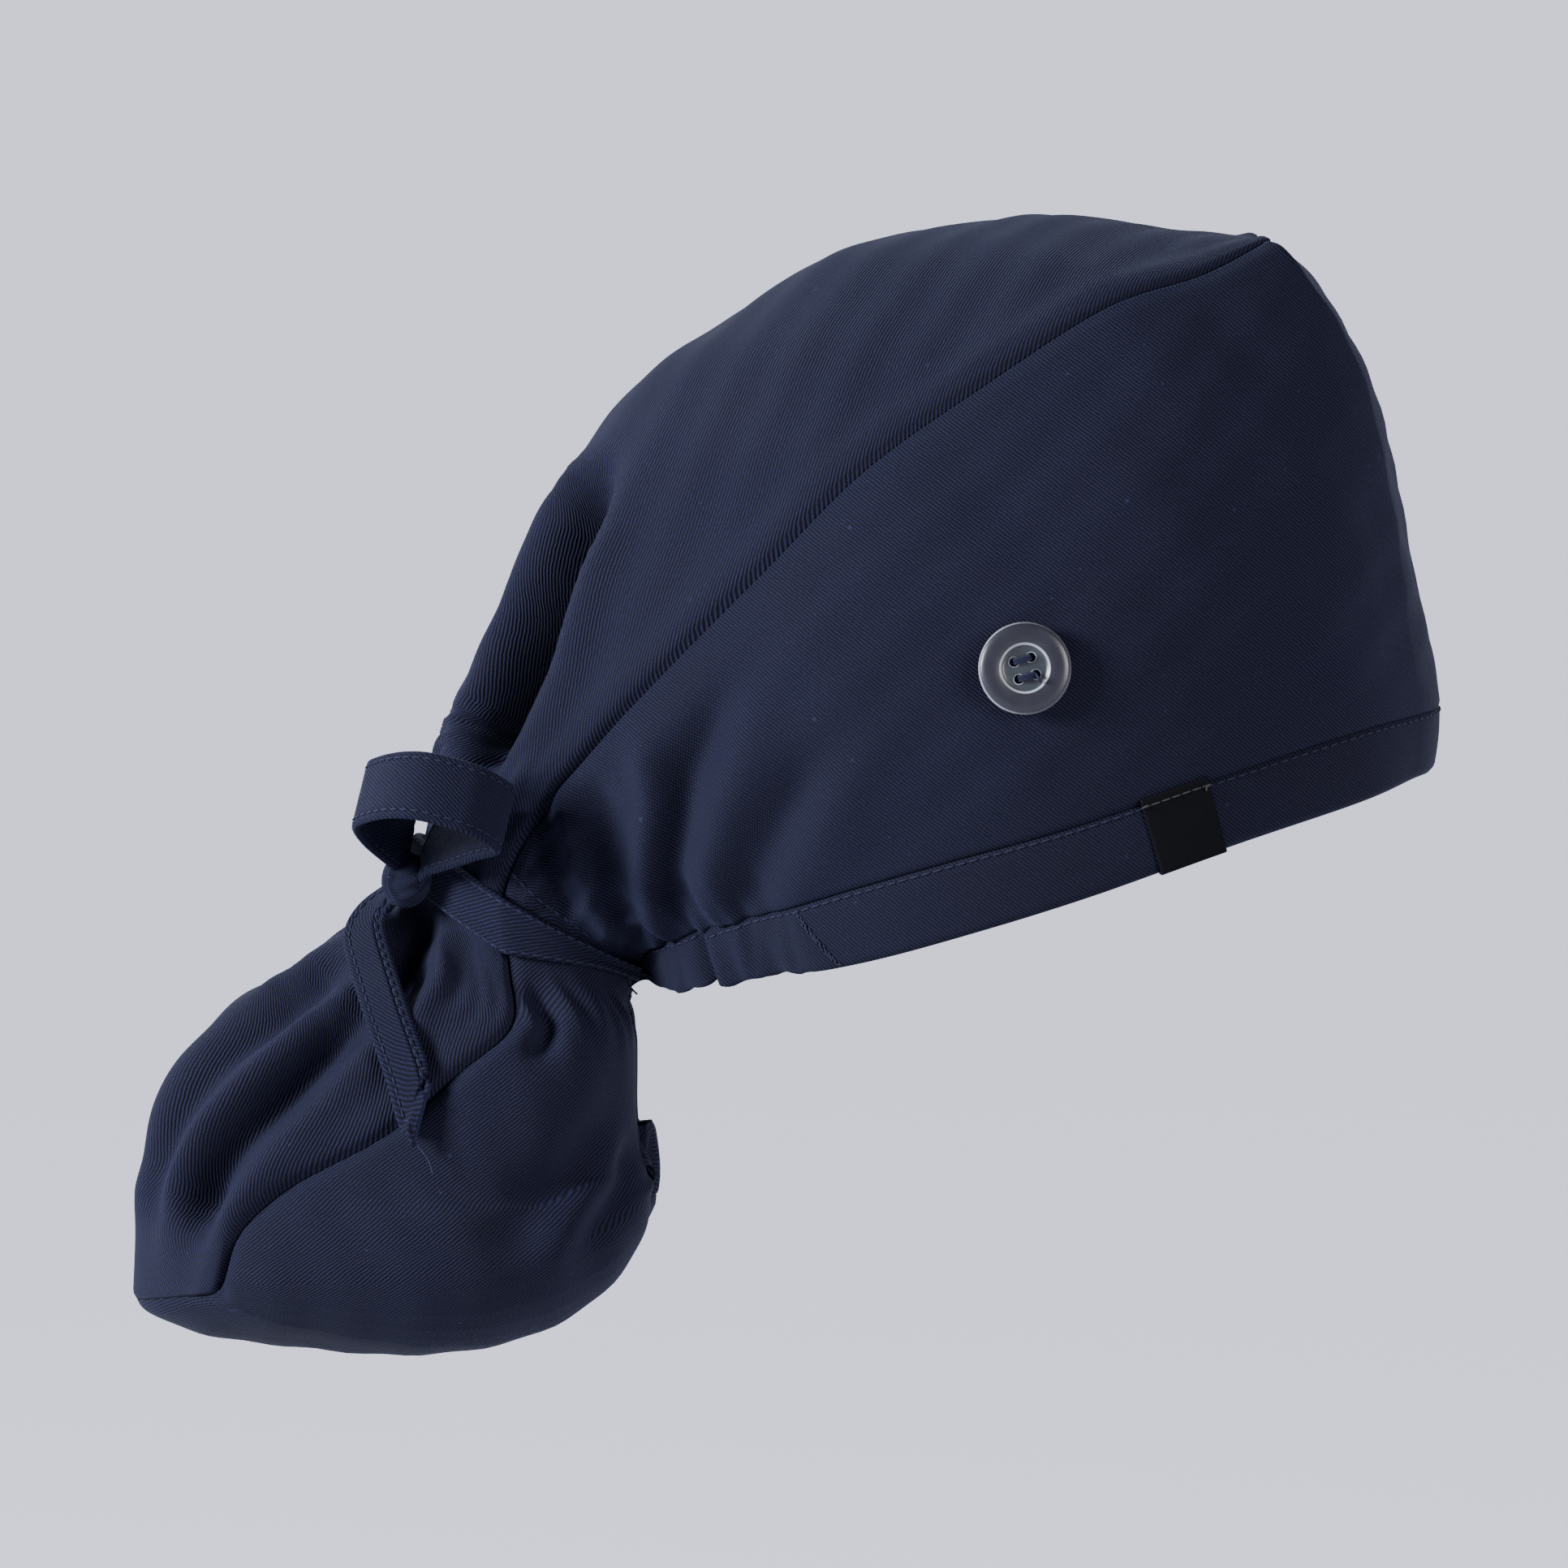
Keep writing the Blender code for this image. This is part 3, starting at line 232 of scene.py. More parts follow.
def smooth(knots, values, s):
    """Values at s on a smooth curve through the values at the rising knots."""
    s = np.asarray(s, float)
    i = np.clip(np.searchsorted(knots, s, "right") - 1, 0, len(knots) - 2)
    span = (knots[i + 1] - knots[i])[..., None]
    k = (s - knots[i])[..., None] / span
    before = np.maximum(i - 1, 0)
    after = np.minimum(i + 2, len(knots) - 1)
    start = (values[i + 1] - values[before]) * span / (knots[i + 1] - knots[before])[..., None]
    finish = (values[after] - values[i]) * span / (knots[after] - knots[i])[..., None]
    return (values[i] * (2 * k**3 - 3 * k**2 + 1) + start * (k**3 - 2 * k**2 + k)
            + values[i + 1] * (3 * k**2 - 2 * k**3) + finish * (k**3 - k**2))


def ease(value):
    """Smooth step from 0 to 1."""
    value = np.clip(value, 0, 1)
    return value * value * (3 - 2 * value)


def unit(vectors):
    return vectors / np.maximum(np.linalg.norm(vectors, axis=-1, keepdims=True), 1e-12)


def arch(station, share):
    """Point of the top panel: share 0 on the ridge, 1 on the right seam, -1 on the left seam."""
    seam = smooth(TOP_KNOTS, SEAM, station)
    ridge = smooth(TOP_KNOTS, RIDGE, station)
    rise = np.abs(share)[..., None] ** smooth(TOP_KNOTS, ROUNDNESS, station)
    point = ridge + (seam - ridge) * rise
    point[..., 1] = seam[..., 1] * share
    return point


def seam_point(station):
    """Upper edge of the side panel: brow seam, long side seam, then the end seam of the pouch."""
    share = np.where(station < FIRST, station / FIRST,
                     np.where(station > LAST, (END - station) / (END - LAST), 1.0))
    return arch(np.clip(station, FIRST, LAST), share)


def rib(station, share):
    """Point of the side panel's rib before it bulges: 0 at the hem stitches, 1 at the seam."""
    stitch = smooth(SIDE_KNOTS, STITCH, station)
    return stitch + (seam_point(station) - stitch) * share[..., None]


def outwards(station):
    """Direction in which a rib bulges, square to the rib and to the way along the panel."""
    half = np.full_like(station, 0.5)
    ahead = np.clip(station + 0.25, 0, END)
    behind = np.clip(station - 0.25, 0, END)
    along = rib(ahead, half) - rib(behind, half)
    along[station <= 0.25] = (0, -1, 0)
    along[station >= END - 0.25] = (0, 1, 0)
    return unit(np.cross(rib(station, half * 2) - rib(station, half * 0), along))


def side_point(station, share):
    """Point of the side panel's smooth outer face."""
    bulge, fullness, skew = np.moveaxis(smooth(SIDE_KNOTS, BULGE, station), -1, 0)
    swell = np.sin(np.pi * np.clip(share, 0, 1)) ** fullness * (1 + skew * np.cos(np.pi * share))
    return rib(station, share) + outwards(station) * (bulge * swell)[..., None]


def bag_point(station, across):
    """Point of the smooth right half: across 0 to 1 is the side panel, 1 to 2 the top panel."""
    on_side = across <= 1
    point = np.empty(across.shape + (3,))
    point[on_side] = side_point(station[on_side], across[on_side])
    point[~on_side] = arch(np.clip(station, FIRST, LAST)[~on_side], 2 - across[~on_side])
    return point


def bag_normal(station, across):
    """Outward direction of the smooth bag, the same on both sides of a seam."""
    ahead = np.minimum(station + 0.1, END)
    behind = np.maximum(station - 0.1, 0)
    on_top = (FIRST <= behind) & (ahead <= LAST)
    above = np.minimum(across + 0.06, np.where(on_top | (across > 1), 4, 1))
    along = bag_point(ahead, across) - bag_point(behind, across)
    edge = (ahead == END) | (behind == 0)
    along[edge] *= (0, 1, 0)
    up = bag_point(station, above) - bag_point(station, across - 0.06)
    return unit(np.cross(up, along))


def fold_lines():
    """Each fold's points in space, with its strength at each, by side."""
    lines = {"right": [], "left": []}
    s = np.linspace(0, 1, 2 * FOLD_SAMPLES + 1)
    weights = ((2 * s - 1) * (s - 1), 4 * s * (1 - s), s * (2 * s - 1))
    for line in FOLD_TABLE:
        row = dict(zip(FOLD_COLUMNS, line))
        station = sum(w * row[end + "_station"] for w, end in zip(weights, ("from", "over", "to")))
        across = sum(w * row[end + "_across"] for w, end in zip(weights, ("from", "over", "to")))
        fade = ease(np.minimum(s, 1 - s) / FOLD_FADE)
        lines[row["side"]].append((bag_point(station, across), fade,
                                   row["width"] * FOLD_WIDTH, row["height"] * FOLD_HEIGHT))
    return lines


FOLDS = fold_lines()


def fold_height(points, side):
    """How far the folds of a side push each point outwards."""
    total = np.zeros(points.shape[:-1])
    for line, fade, width, height in FOLDS[side]:
        strength = np.zeros_like(total)
        for a, b, fade_a, fade_b in zip(line, line[1:], fade, fade[1:]):
            leg = b - a
            k = np.clip((points - a) @ leg / (leg @ leg), 0, 1)
            distance = np.linalg.norm(points - a - k[..., None] * leg, axis=-1)
            here = (fade_a + (fade_b - fade_a) * k) * np.exp(-(distance / width) ** 2)
            strength = np.maximum(strength, here)
        total += height * strength
    return total


def cloth(station, across):
    """Folded bag and its smooth normal: across 0 to 2 on the right, 2 to 4 over to the left hem."""
    station, across = np.broadcast_arrays(np.asarray(station, float), np.asarray(across, float))
    left = across > 2
    share = np.where(left, 4 - across, across)
    point = bag_point(station, share)
    normal = bag_normal(station, share)
    height = np.zeros(share.shape)
    height[~left] = fold_height(point[~left], "right")
    height[left] = fold_height(point[left], "left")
    height *= ease((2 - share) / RIDGE_FADE) * ease(np.minimum(station, END - station) / CENTRE_FADE)
    point = point + normal * height[..., None]
    way = np.where(left[..., None], LEFT_WAY, RIGHT_WAY)
    return point * way, normal * way


def lengths(points, axis):
    """Distance walked along one axis of a grid of points, from its first row or column."""
    steps = np.linalg.norm(np.diff(points, axis=axis), axis=-1)
    shape = list(steps.shape)
    shape[axis] = 1
    return np.concatenate((np.zeros(shape), np.cumsum(steps, axis=axis)), axis=axis)


def ripple(u, v, waves):
    """Uneven waviness from crossed waves: rows of length, slant, phase and height."""
    total = 0
    for length, slant, phase, height in waves:
        total = total + height * np.sin(2 * np.pi * (u + slant * v) / length + phase)
    return total


# Slow unevenness of the laid cloth: wavelength, slant, phase, height, in metres and radians
SLACK_WAVES = ((0.071, 0.6, 0.4, 0.00045), (0.047, -0.9, 1.9, 0.00035), (0.031, 1.7, 3.1, 0.00022),
               (0.023, -0.4, 5.2, 0.00012))
# Small gathers at the elastic and the neck
GATHER_WAVES = ((0.0072, 0.15, 0.0, 0.55), (0.0115, -0.25, 1.1, 0.70), (0.0049, 0.1, 2.3, 0.25))


def add_mesh(name, grid, weave, closed=False, tube=False):
    """Smooth mesh through a grid of points, with its weave coordinates as the UV map."""
    rows, cols = grid.shape[:2]
    ids = np.arange(rows * cols).reshape(rows, cols)
    if closed:
        ids = np.vstack((ids, ids[:1]))
    if tube:
        ids = np.hstack((ids, ids[:, :1]))
    quads = np.stack((ids[:-1, :-1], ids[:-1, 1:], ids[1:, 1:], ids[1:, :-1]), axis=-1).reshape(-1, 4)
    corners = np.stack((weave[:-1, :-1], weave[:-1, 1:], weave[1:, 1:], weave[1:, :-1]), axis=2)
    corners = corners.reshape(-1, 4, 2)
    faces = quads.tolist()
    if tube and not closed:
        faces += [ids[0, -2::-1].tolist(), ids[-1, :-1].tolist()]
    mesh = bpy.data.meshes.new(name)
    mesh.from_pydata(grid.reshape(-1, 3).tolist(), [], faces)
    layer = mesh.uv_layers.new(name="weave")
    flat = corners.reshape(-1, 2)
    uv = np.zeros((len(mesh.loops), 2))
    uv[:len(flat)] = flat
    layer.data.foreach_set("uv", uv.ravel())
    mesh.shade_smooth()
    part = bpy.data.objects.new(name, mesh)
    bpy.context.scene.collection.objects.link(part)
    return part


def thicken(part, thickness, offset=-1):
    """Gives a cloth surface its thickness, as a plain mesh."""
    wall = part.modifiers.new("Wall", "SOLIDIFY")
    wall.thickness = thickness
    wall.offset = offset
    graph = bpy.context.evaluated_depsgraph_get()
    solid = bpy.data.meshes.new_from_object(part.evaluated_get(graph))
    part.modifiers.clear()
    part.data = solid
    return part


class Value:
    """A shader socket that works in Python sums, and adds other nodes beside it with make."""

    def __init__(self, tree, socket=None):
        self.tree = tree
        self.socket = socket

    def put(self, value, socket):
        if isinstance(value, Value):
            self.tree.links.new(value.socket, socket)
        else:
            socket.default_value = value

    def make(self, kind, settings, values, output=0):
        node = self.tree.nodes.new(kind)
        for name, setting in settings.items():
            setattr(node, name, setting)
        for name, value in values.items():
            self.put(value, node.inputs[name])
        return Value(self.tree, node.outputs[output])

    def maths(self, operation, *values):
        return self.make("ShaderNodeMath", {"operation": operation}, dict(enumerate(values)))

    def __add__(self, other):
        return self.maths("ADD", self, other)

    def __sub__(self, other):
        return self.maths("SUBTRACT", self, other)

    def __rsub__(self, other):
        return self.maths("SUBTRACT", other, self)

    def __mul__(self, other):
        return self.maths("MULTIPLY", self, other)

    def __truediv__(self, other):
        return self.maths("DIVIDE", self, other)

    __radd__ = __add__
    __rmul__ = __mul__

    def sine(self):
        return self.maths("SINE", self)

    def above(self, low, high):
        """0 below low, 1 above high, smooth between."""
        return self.make("ShaderNodeMapRange", {"interpolation_type": "SMOOTHSTEP"},
                         {"Value": self, "From Min": low, "From Max": high})

    def noise(self, vector, scale, detail=2.0):
        return self.make("ShaderNodeTexNoise", {}, {"Vector": vector, "Scale": scale, "Detail": detail})

    def scaled(self, color):
        """A colour, or another value's colour, times this value."""
        return self.make("ShaderNodeVectorMath", {"operation": "SCALE"}, {0: color, "Scale": self})

    def mix(self, first, second):
        """Colour first where this value is 0 and second where it is 1."""
        return self.make("ShaderNodeMix", {"data_type": "RGBA"}, {0: self, 6: first, 7: second}, 2)


def new_finish(name, roughness, **uniform):
    """Material with its Principled shader and a first value to start sums from."""
    material = bpy.data.materials.new(name)
    material.use_nodes = True
    shader = material.node_tree.nodes["Principled BSDF"]
    shader.inputs["Roughness"].default_value = roughness
    for socket, value in uniform.items():
        shader.inputs[socket.replace("_", " ")].default_value = value
    return material, shader, Value(material.node_tree)


def twill(name, color, angle, pitch=0.00082, depth=0.00030, tint=(1.0, 1.0, 1.0)):
    """Fine diagonal twill with uneven dye, a little lint and a soft sheen."""
    material, shader, value = new_finish(name, 0.8, Sheen_Weight=0.035, Sheen_Roughness=0.5,
                                         Specular_IOR_Level=0.12)
    shader.inputs["Sheen Tint"].default_value = (0.45, 0.55, 1.0, 1)
    weave = value.make("ShaderNodeUVMap", {"uv_map": "weave"}, {})
    split = value.make("ShaderNodeSeparateXYZ", {}, {"Vector": weave})
    u = split
    v = Value(split.tree, split.socket.node.outputs[1])
    wander = value.noise(weave, 300.0, 1.0) * 0.55
    line = (u * math.sin(angle) - v * math.cos(angle)) / pitch + wander
    rib_wave = (line * (2 * math.pi)).sine() * 0.5 + 0.5
    yarn = ((u * math.cos(angle) + v * math.sin(angle)) / (pitch * 0.62) + line * 0.5) * (2 * math.pi)
    height = rib_wave * 0.85 + yarn.sine() * 0.12
    slow = value.noise(weave, 30.0, 3.0)
    fine = value.noise(weave, 1100.0, 1.0)
    lint = value.noise(weave, 420.0, 0.0).above(0.83, 0.89)
    shade = (height * 1.70 + 0.15) * (slow * 0.40 + 0.80) * (fine * 0.9 + 0.55)
    cloth_color = shade.scaled(tuple(c * t for c, t in zip(color, tint)))
    value.put(lint.mix(cloth_color, (color[0] * 2.4, color[1] * 2.3, color[2] * 1.9, 1)),
              shader.inputs["Base Color"])
    value.put(0.72 + slow * 0.14, shader.inputs["Roughness"])
    value.put(value.make("ShaderNodeBump", {}, {"Strength": 0.75, "Distance": depth, "Height": height}),
              shader.inputs["Normal"])
    return material


NAVY = (0.0044, 0.0047, 0.0165)
side_twill = twill("side_twill", NAVY, math.radians(37))


def ring(right, left):
    """Rows of the right half followed by the left half's, back to the first."""
    return np.concatenate((right, left[-2:0:-1]), axis=0)


def strip_weave(t, point):
    """Weave coordinates of the whole ring: its length in plan, true at the button, and its height."""
    walked = lengths(point[..., :2], 0)
    start = np.searchsorted(t[:, 0], BUTTON_PLACE[0])
    walked = walked - walked[start] - point[start, :, 0]
    pouch = point[:, :1, 0] - lengths(point[..., :2], 1)
    crown = t < KNOT_STATION
    halves = [np.stack((np.where(crown, along, pouch), point[..., 2]), axis=-1)
              for along in (walked, 2 * walked[:1] - walked)]
    return np.concatenate((halves[0], halves[1][-2::-1]))


def side_shares(count):
    """Places across the side panel, closer at both edges."""
    u = np.linspace(0, 1, count)
    return u - 0.12 * np.sin(2 * np.pi * u)


side_stations = np.concatenate((np.linspace(0, FIRST, 26)[:-1], np.linspace(FIRST, LAST, 286)[:-1],
                                np.linspace(LAST, END, 26)))
t, c = np.meshgrid(side_stations, side_shares(58), indexing="ij")


def side_half(t, c):
    """One half of the side panel with its small gathers and its sunk edges."""
    point, normal = cloth(t, c)
    share = np.where(c > 2, 4 - c, c)
    u = lengths(point, 0)[:, :1] + 0 * share
    v = lengths(point, 1)
    to_seam = v[:, -1:] - v
    height = ripple(u, v, SLACK_WAVES) * ease(v / 0.02) * ease(to_seam / 0.02)
    at_hem = 0.7 * ease((t - 6.5) / 0.8) * ease((10.2 - t) / 0.8) * np.exp(-v / 0.009)
    at_neck = np.exp(-((t - 9.25) / 0.6) ** 2) + np.exp(-((t - 11.7) / 0.5) ** 2)
    at_mouth = ease((t - 15.6) / 1.2) * np.exp(-v / 0.010)
    gathers = ripple(u, v, GATHER_WAVES) * (at_hem + at_mouth) * 0.0013
    gathers += ripple(v, u, GATHER_WAVES) * at_neck * 0.0007 * ease(to_seam / 0.006)
    height += gathers
    seam_groove = 0.0012 * np.exp(-(to_seam / 0.0025) ** 2)
    hem_groove = 0.0003 * (1 - ease(v / 0.0012))
    height -= seam_groove + hem_groove
    return point + normal * height[..., None], u, v


right, u, v = side_half(t, c)
left, _, _ = side_half(t, 4 - c)
weave = strip_weave(t, right)
side_panel = thicken(add_mesh("side_panel_cloth", ring(right, left), weave, closed=True), CLOTH)
side_panel.data.materials.append(side_twill)
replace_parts(side_panel, "side_panel")
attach(side_panel, "root")

# Top panel
# A strip of the same twill, cut on another grain, squared at the brow and at the end of the pouch.
# It is sewn down both long sides, and the seam pulls it in a little below the side panel's edge.

# The top panel's twill is tinted a little lighter than the side panel's, as painted light on its upward
# faces
top_twill = twill("top_twill", NAVY, math.radians(147), tint=(1.12, 1.12, 1.08))
TOP_ACROSS = 95
t, share = np.meshgrid(np.linspace(FIRST + 0.002, LAST - 0.002, 330), np.linspace(0, 1, TOP_ACROSS),
                       indexing="ij")
share = 0.97 + 2.06 * (share - 0.05 * np.sin(2 * np.pi * share))
seams = np.searchsorted(share[0], (1.0, 3.0)) - (0, 1)
point, normal = cloth(t, share)
u = lengths(point, 0)[:, [TOP_ACROSS // 2]] + 0 * share
v = lengths(point, 1)
to_seam = np.maximum(np.minimum(v - v[:, seams[:1]], v[:, seams[1:]] - v), 0)
ends = np.minimum(u, u[-1:] - u)
height = ripple(u, v, SLACK_WAVES) * ease(to_seam / 0.02) * ease(ends / 0.02)
at_neck = np.exp(-((t - 9.1) / 0.7) ** 2) + np.exp(-((t - 11.9) / 0.6) ** 2)
height += ripple(v, u, GATHER_WAVES) * at_neck * 0.0008 * ease(to_seam / 0.006)
puff = 0.0011 * np.exp(-((to_seam - 0.0060) / 0.0045) ** 2)
seam_drop = 0.0036 * (1 - ease(to_seam / 0.0022))
end_drop = 0.0010 * (1 - ease(ends / 0.0018))
height += puff
height -= seam_drop + end_drop
grid = point + normal * height[..., None]
top_panel = thicken(add_mesh("top_panel_cloth", grid, np.stack((u, v), axis=-1)), CLOTH)
top_panel.data.materials.append(top_twill)
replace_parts(top_panel, "top_panel")
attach(top_panel, "root")

# Hem band
# The side panel's lower edge, turned up inside twice and stitched. Elastic inside its back part
# gathers it behind the ears, and it goes on through the neck into the mouth of the pouch.

HEM_WALL = 0.0022
CLEARANCE = 0.0004

# Stations between which the ties wrap the neck
NECK_EDGES = (10.0, 10.8)

hem_twill = twill("hem_twill", NAVY, math.radians(37), tint=(0.98, 0.94, 0.92))


def hem_half(t, share, left):
    """Outer face of one half of the hem: share 0 at its lower edge, 1 at its upper fold."""
    across = np.full_like(t, 4.0 if left else 0.0)
    top, _ = cloth(t, across)
    normal = bag_normal(t, np.zeros_like(t))
    fall = smooth(SIDE_KNOTS, FALL, t)
    if left:
        normal = normal * LEFT_WAY
        fall = fall * LEFT_WAY
    u = lengths(top, 0)[:, :1] + 0 * share
    v = (share - 1) * HEM_HEIGHT
    inset = ease((t - NECK_EDGES[0] + 0.5) / 1.5) * (CLOTH + 2 * CLEARANCE)
    gathered = 0.55 * ease((t - 6.35) / 0.3) * ease((10.0 - t) / 0.6) + 2.2 * ease((t - 14.3) / 0.8)
    ruffle = ripple(u, v, GATHER_WAVES) * 0.00075 * gathered * (1.1 - 0.3 * share)
    drop = ripple(u + 0.003, v, GATHER_WAVES) * 0.0006 * gathered * (1 - share)
    ruffle = ruffle - 0.0034 * np.exp(-((t - 7.95) / 0.09) ** 2) * (1 - 0.4 * share)
    ruffle = ruffle + 0.0018 * np.exp(-((t - 7.70) / 0.14) ** 2) + 0.0020 * ease((t - 14.6) / 0.8)
    roll = 0.0005 * (1 - ease((1 - share) * HEM_HEIGHT / 0.0012))
    roll = roll + 0.0010 * (1 - ease(share * HEM_HEIGHT / 0.0012))
    puff = 0.0005 * np.sin(np.pi * np.clip(share, 0, 1))
    turned_in = 0.0024 * ease((share - 1) * HEM_HEIGHT / 0.0009)
    height = ruffle + puff - roll - inset - turned_in
    grid = top + fall * (1 - share[..., None]) + normal * height[..., None]
    grid += unit(fall) * drop[..., None]
    return grid, u, v


t, share = np.meshgrid(side_stations, side_shares(17) * 1.12, indexing="ij")
right, u, v = hem_half(t, share, False)
left, _, _ = hem_half(t, share, True)
weave = strip_weave(t, right)
hem_band = thicken(add_mesh("hem_band_cloth", ring(right, left), weave, closed=True), HEM_WALL)
hem_band.data.materials.append(hem_twill)
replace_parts(hem_band, "hem_band")
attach(hem_band, "root")

# Hem stitches
# One line of navy lockstitch round the head opening, just below the panel's edge, a short zigzag
# where the elastic begins, and the row that holds each tie. Each stitch is a short thread of its own.

# What the stitches are given, and those sizes for the hem's line, its zigzag and the ties' rows
STITCH_SIZES = ("Pitch", "Length", "Thickness")
HEM_STITCH = (0.0031, 0.0025, 0.00055)
ZIGZAG_STITCH = (0.0009, 0.0011, 0.0005)
ANCHOR_STITCH = (0.0027, 0.0021, 0.0005)

# The hem's line: its share of the hem's height and its last station; and the zigzag's station
HEM_LINE_SHARE = 0.93
HEM_LINE_END = 9.6
ZIGZAG_STATION = 6.50


def thread_finish(name, color):
    """Twisted thread: fine slanted plies and a slight gloss."""
    material, shader, value = new_finish(name, 0.7, Specular_IOR_Level=0.15)
    place = value.make("ShaderNodeTexCoord", {}, {}, 3)
    ply = value.make("ShaderNodeTexWave", {"bands_direction": "DIAGONAL"},
                     {"Vector": place, "Scale": 900.0, "Distortion": 0.4}, 1)
    value.put((ply * 0.5 + 0.75).scaled(color), shader.inputs["Base Color"])
    value.put(value.make("ShaderNodeBump", {}, {"Strength": 0.5, "Distance": 0.0002, "Height": ply}),
              shader.inputs["Normal"])
    return material


navy_thread = thread_finish("navy_sewing_thread", (0.0125, 0.0135, 0.0330))


def stitch_group():
    """Node group that lays short threads along the curves of the object it is used on."""
    group = bpy.data.node_groups.new("stitches", "GeometryNodeTree")
    face = group.interface
    face.new_socket("Geometry", in_out="INPUT", socket_type="NodeSocketGeometry")
    for name in STITCH_SIZES:
        face.new_socket(name, in_out="INPUT", socket_type="NodeSocketFloat")
    face.new_socket("Geometry", in_out="OUTPUT", socket_type="NodeSocketGeometry")
    kinds = {"given": "NodeGroupInput", "points": "GeometryNodeCurveToPoints",
             "ball": "GeometryNodeMeshUVSphere", "turn": "FunctionNodeAlignRotationToVector",
             "half_length": "ShaderNodeMath", "half_thickness": "ShaderNodeMath",
             "size": "ShaderNodeCombineXYZ", "place": "GeometryNodeInstanceOnPoints",
             "real": "GeometryNodeRealizeInstances", "result": "NodeGroupOutput"}
    node = {name: group.nodes.new(kind) for name, kind in kinds.items()}
    node["points"].mode = "LENGTH"
    node["turn"].axis = "Z"
    for name, value in (("Segments", 8), ("Rings", 6), ("Radius", 1.0)):
        node["ball"].inputs[name].default_value = value
    for name in ("half_length", "half_thickness"):
        node[name].operation = "MULTIPLY"
        node[name].inputs[1].default_value = 0.5
    for source, output, target, entry in (("given", "Geometry", "points", "Curve"),
                                          ("given", "Pitch", "points", "Length"),
                                          ("given", "Length", "half_length", 0),
                                          ("given", "Thickness", "half_thickness", 0),
                                          ("half_thickness", 0, "size", "X"),
                                          ("half_thickness", 0, "size", "Y"),
                                          ("half_length", 0, "size", "Z"),
                                          ("points", "Tangent", "turn", "Vector"),
                                          ("points", "Points", "place", "Points"),
                                          ("ball", "Mesh", "place", "Instance"),
                                          ("turn", "Rotation", "place", "Rotation"),
                                          ("size", 0, "place", "Scale"),
                                          ("place", "Instances", "real", "Geometry"),
                                          ("real", "Geometry", "result", "Geometry")):
        group.links.new(node[source].outputs[output], node[target].inputs[entry])
    return group


STITCHES = stitch_group()


def curve_along(name, lines):
    """Object with a curve along each line of points."""
    curve = bpy.data.curves.new(name, "CURVE")
    curve.dimensions = "3D"
    for line in lines:
        spline = curve.splines.new("POLY")
        spline.points.add(len(line) - 1)
        flat = np.concatenate((line, np.ones((len(line), 1))), axis=1)
        spline.points.foreach_set("co", flat.ravel())
    maker = bpy.data.objects.new(name, curve)
    bpy.context.scene.collection.objects.link(maker)
    return maker


def sewn(maker, material):
    """Puts a plain mesh of what a curve object makes in its place."""
    name = maker.name
    bpy.context.view_layer.update()
    graph = bpy.context.evaluated_depsgraph_get()
    mesh = bpy.data.meshes.new_from_object(maker.evaluated_get(graph))
    bpy.data.objects.remove(maker, do_unlink=True)
    mesh.name = name
    mesh.materials.clear()
    mesh.materials.append(material)
    mesh.shade_smooth()
    part = bpy.data.objects.new(name, mesh)
    bpy.context.scene.collection.objects.link(part)
    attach(part, "root")
    return part


def add_stitches(name, lines, sizes, material):
    """Stitches along lines of points, with their pitch, length and thickness."""
    maker = curve_along(name, lines)
    sew = maker.modifiers.new("Stitches", "NODES")
    sew.node_group = STITCHES
    wanted = dict(zip(STITCH_SIZES, sizes))
    for item in STITCHES.interface.items_tree:
        if item.name in wanted:
            sew[item.identifier] = wanted[item.name]
    return sewn(maker, material)


def hem_line(left):
    """Line on the hem's outer face, just below its upper fold."""
    picked = side_stations[side_stations <= HEM_LINE_END]
    t, s = np.meshgrid(picked, np.array([HEM_LINE_SHARE]), indexing="ij")
    line = hem_half(t, s, left)[0][:, 0]
    normal = bag_normal(t, np.zeros_like(t))[:, 0] * (LEFT_WAY if left else RIGHT_WAY)
    return line + normal * 0.00005


add_stitches("hem_stitches", [hem_line(False), hem_line(True)], HEM_STITCH, navy_thread)


def zigzag(left):
    """Zigzag over the hem where its elastic begins, leaning forwards to its lower edge."""
    share = np.linspace(0.06, 0.94, 31)
    t = ZIGZAG_STATION - 0.30 * (1 - share) + 0.035 * (np.arange(31) % 2)
    grid = hem_half(t[:, None], share[:, None], left)[0][:, 0]
    normal = bag_normal(t, np.zeros_like(t)) * (LEFT_WAY if left else RIGHT_WAY)
    return grid + normal * 0.00025


add_stitches("elastic_stitches", [zigzag(False), zigzag(True)], ZIGZAG_STITCH, navy_thread)


def anchor_line(left):
    """Line down the side panel's cloth over the start of a tie."""
    t = np.linspace(9.70, 9.80, 40)
    c = np.linspace(0.97, 0.45, 40)
    point, normal = cloth(t, 4 - c if left else c)
    return point + normal * 0.0003


add_stitches("tie_anchor_stitches", [anchor_line(False), anchor_line(True)], ANCHOR_STITCH, navy_thread)

# Ties round the neck
# Two straps of doubled twill, topstitched along both edges, sewn in at the hem on each side and
# drawn tight round the neck to the knot.

STRAP_WIDTH = 0.0185
STRAP_WALL = 0.0022
STRAP_LIFT = 0.0005
STITCH_INSET = 0.0021
TOPSTITCH = (0.0029, 0.0023, 0.0005)

# How far across the bag each tie starts, where both meet under the knot, and its mesh's columns
TIE_START = 0.03
TIE_MEET = 1.54
TIE_COLUMNS = 41

strap_twill = twill("strap_twill", NAVY, math.radians(35), tint=(0.92, 0.96, 1.02))


def face_outwards(mesh):
    """Turns every face of a closed mesh outwards."""
    bm = bmesh.new()
    bm.from_mesh(mesh)
    bmesh.ops.recalc_face_normals(bm, faces=bm.faces)
    bm.to_mesh(mesh)
    bm.free()
    mesh.shade_smooth()


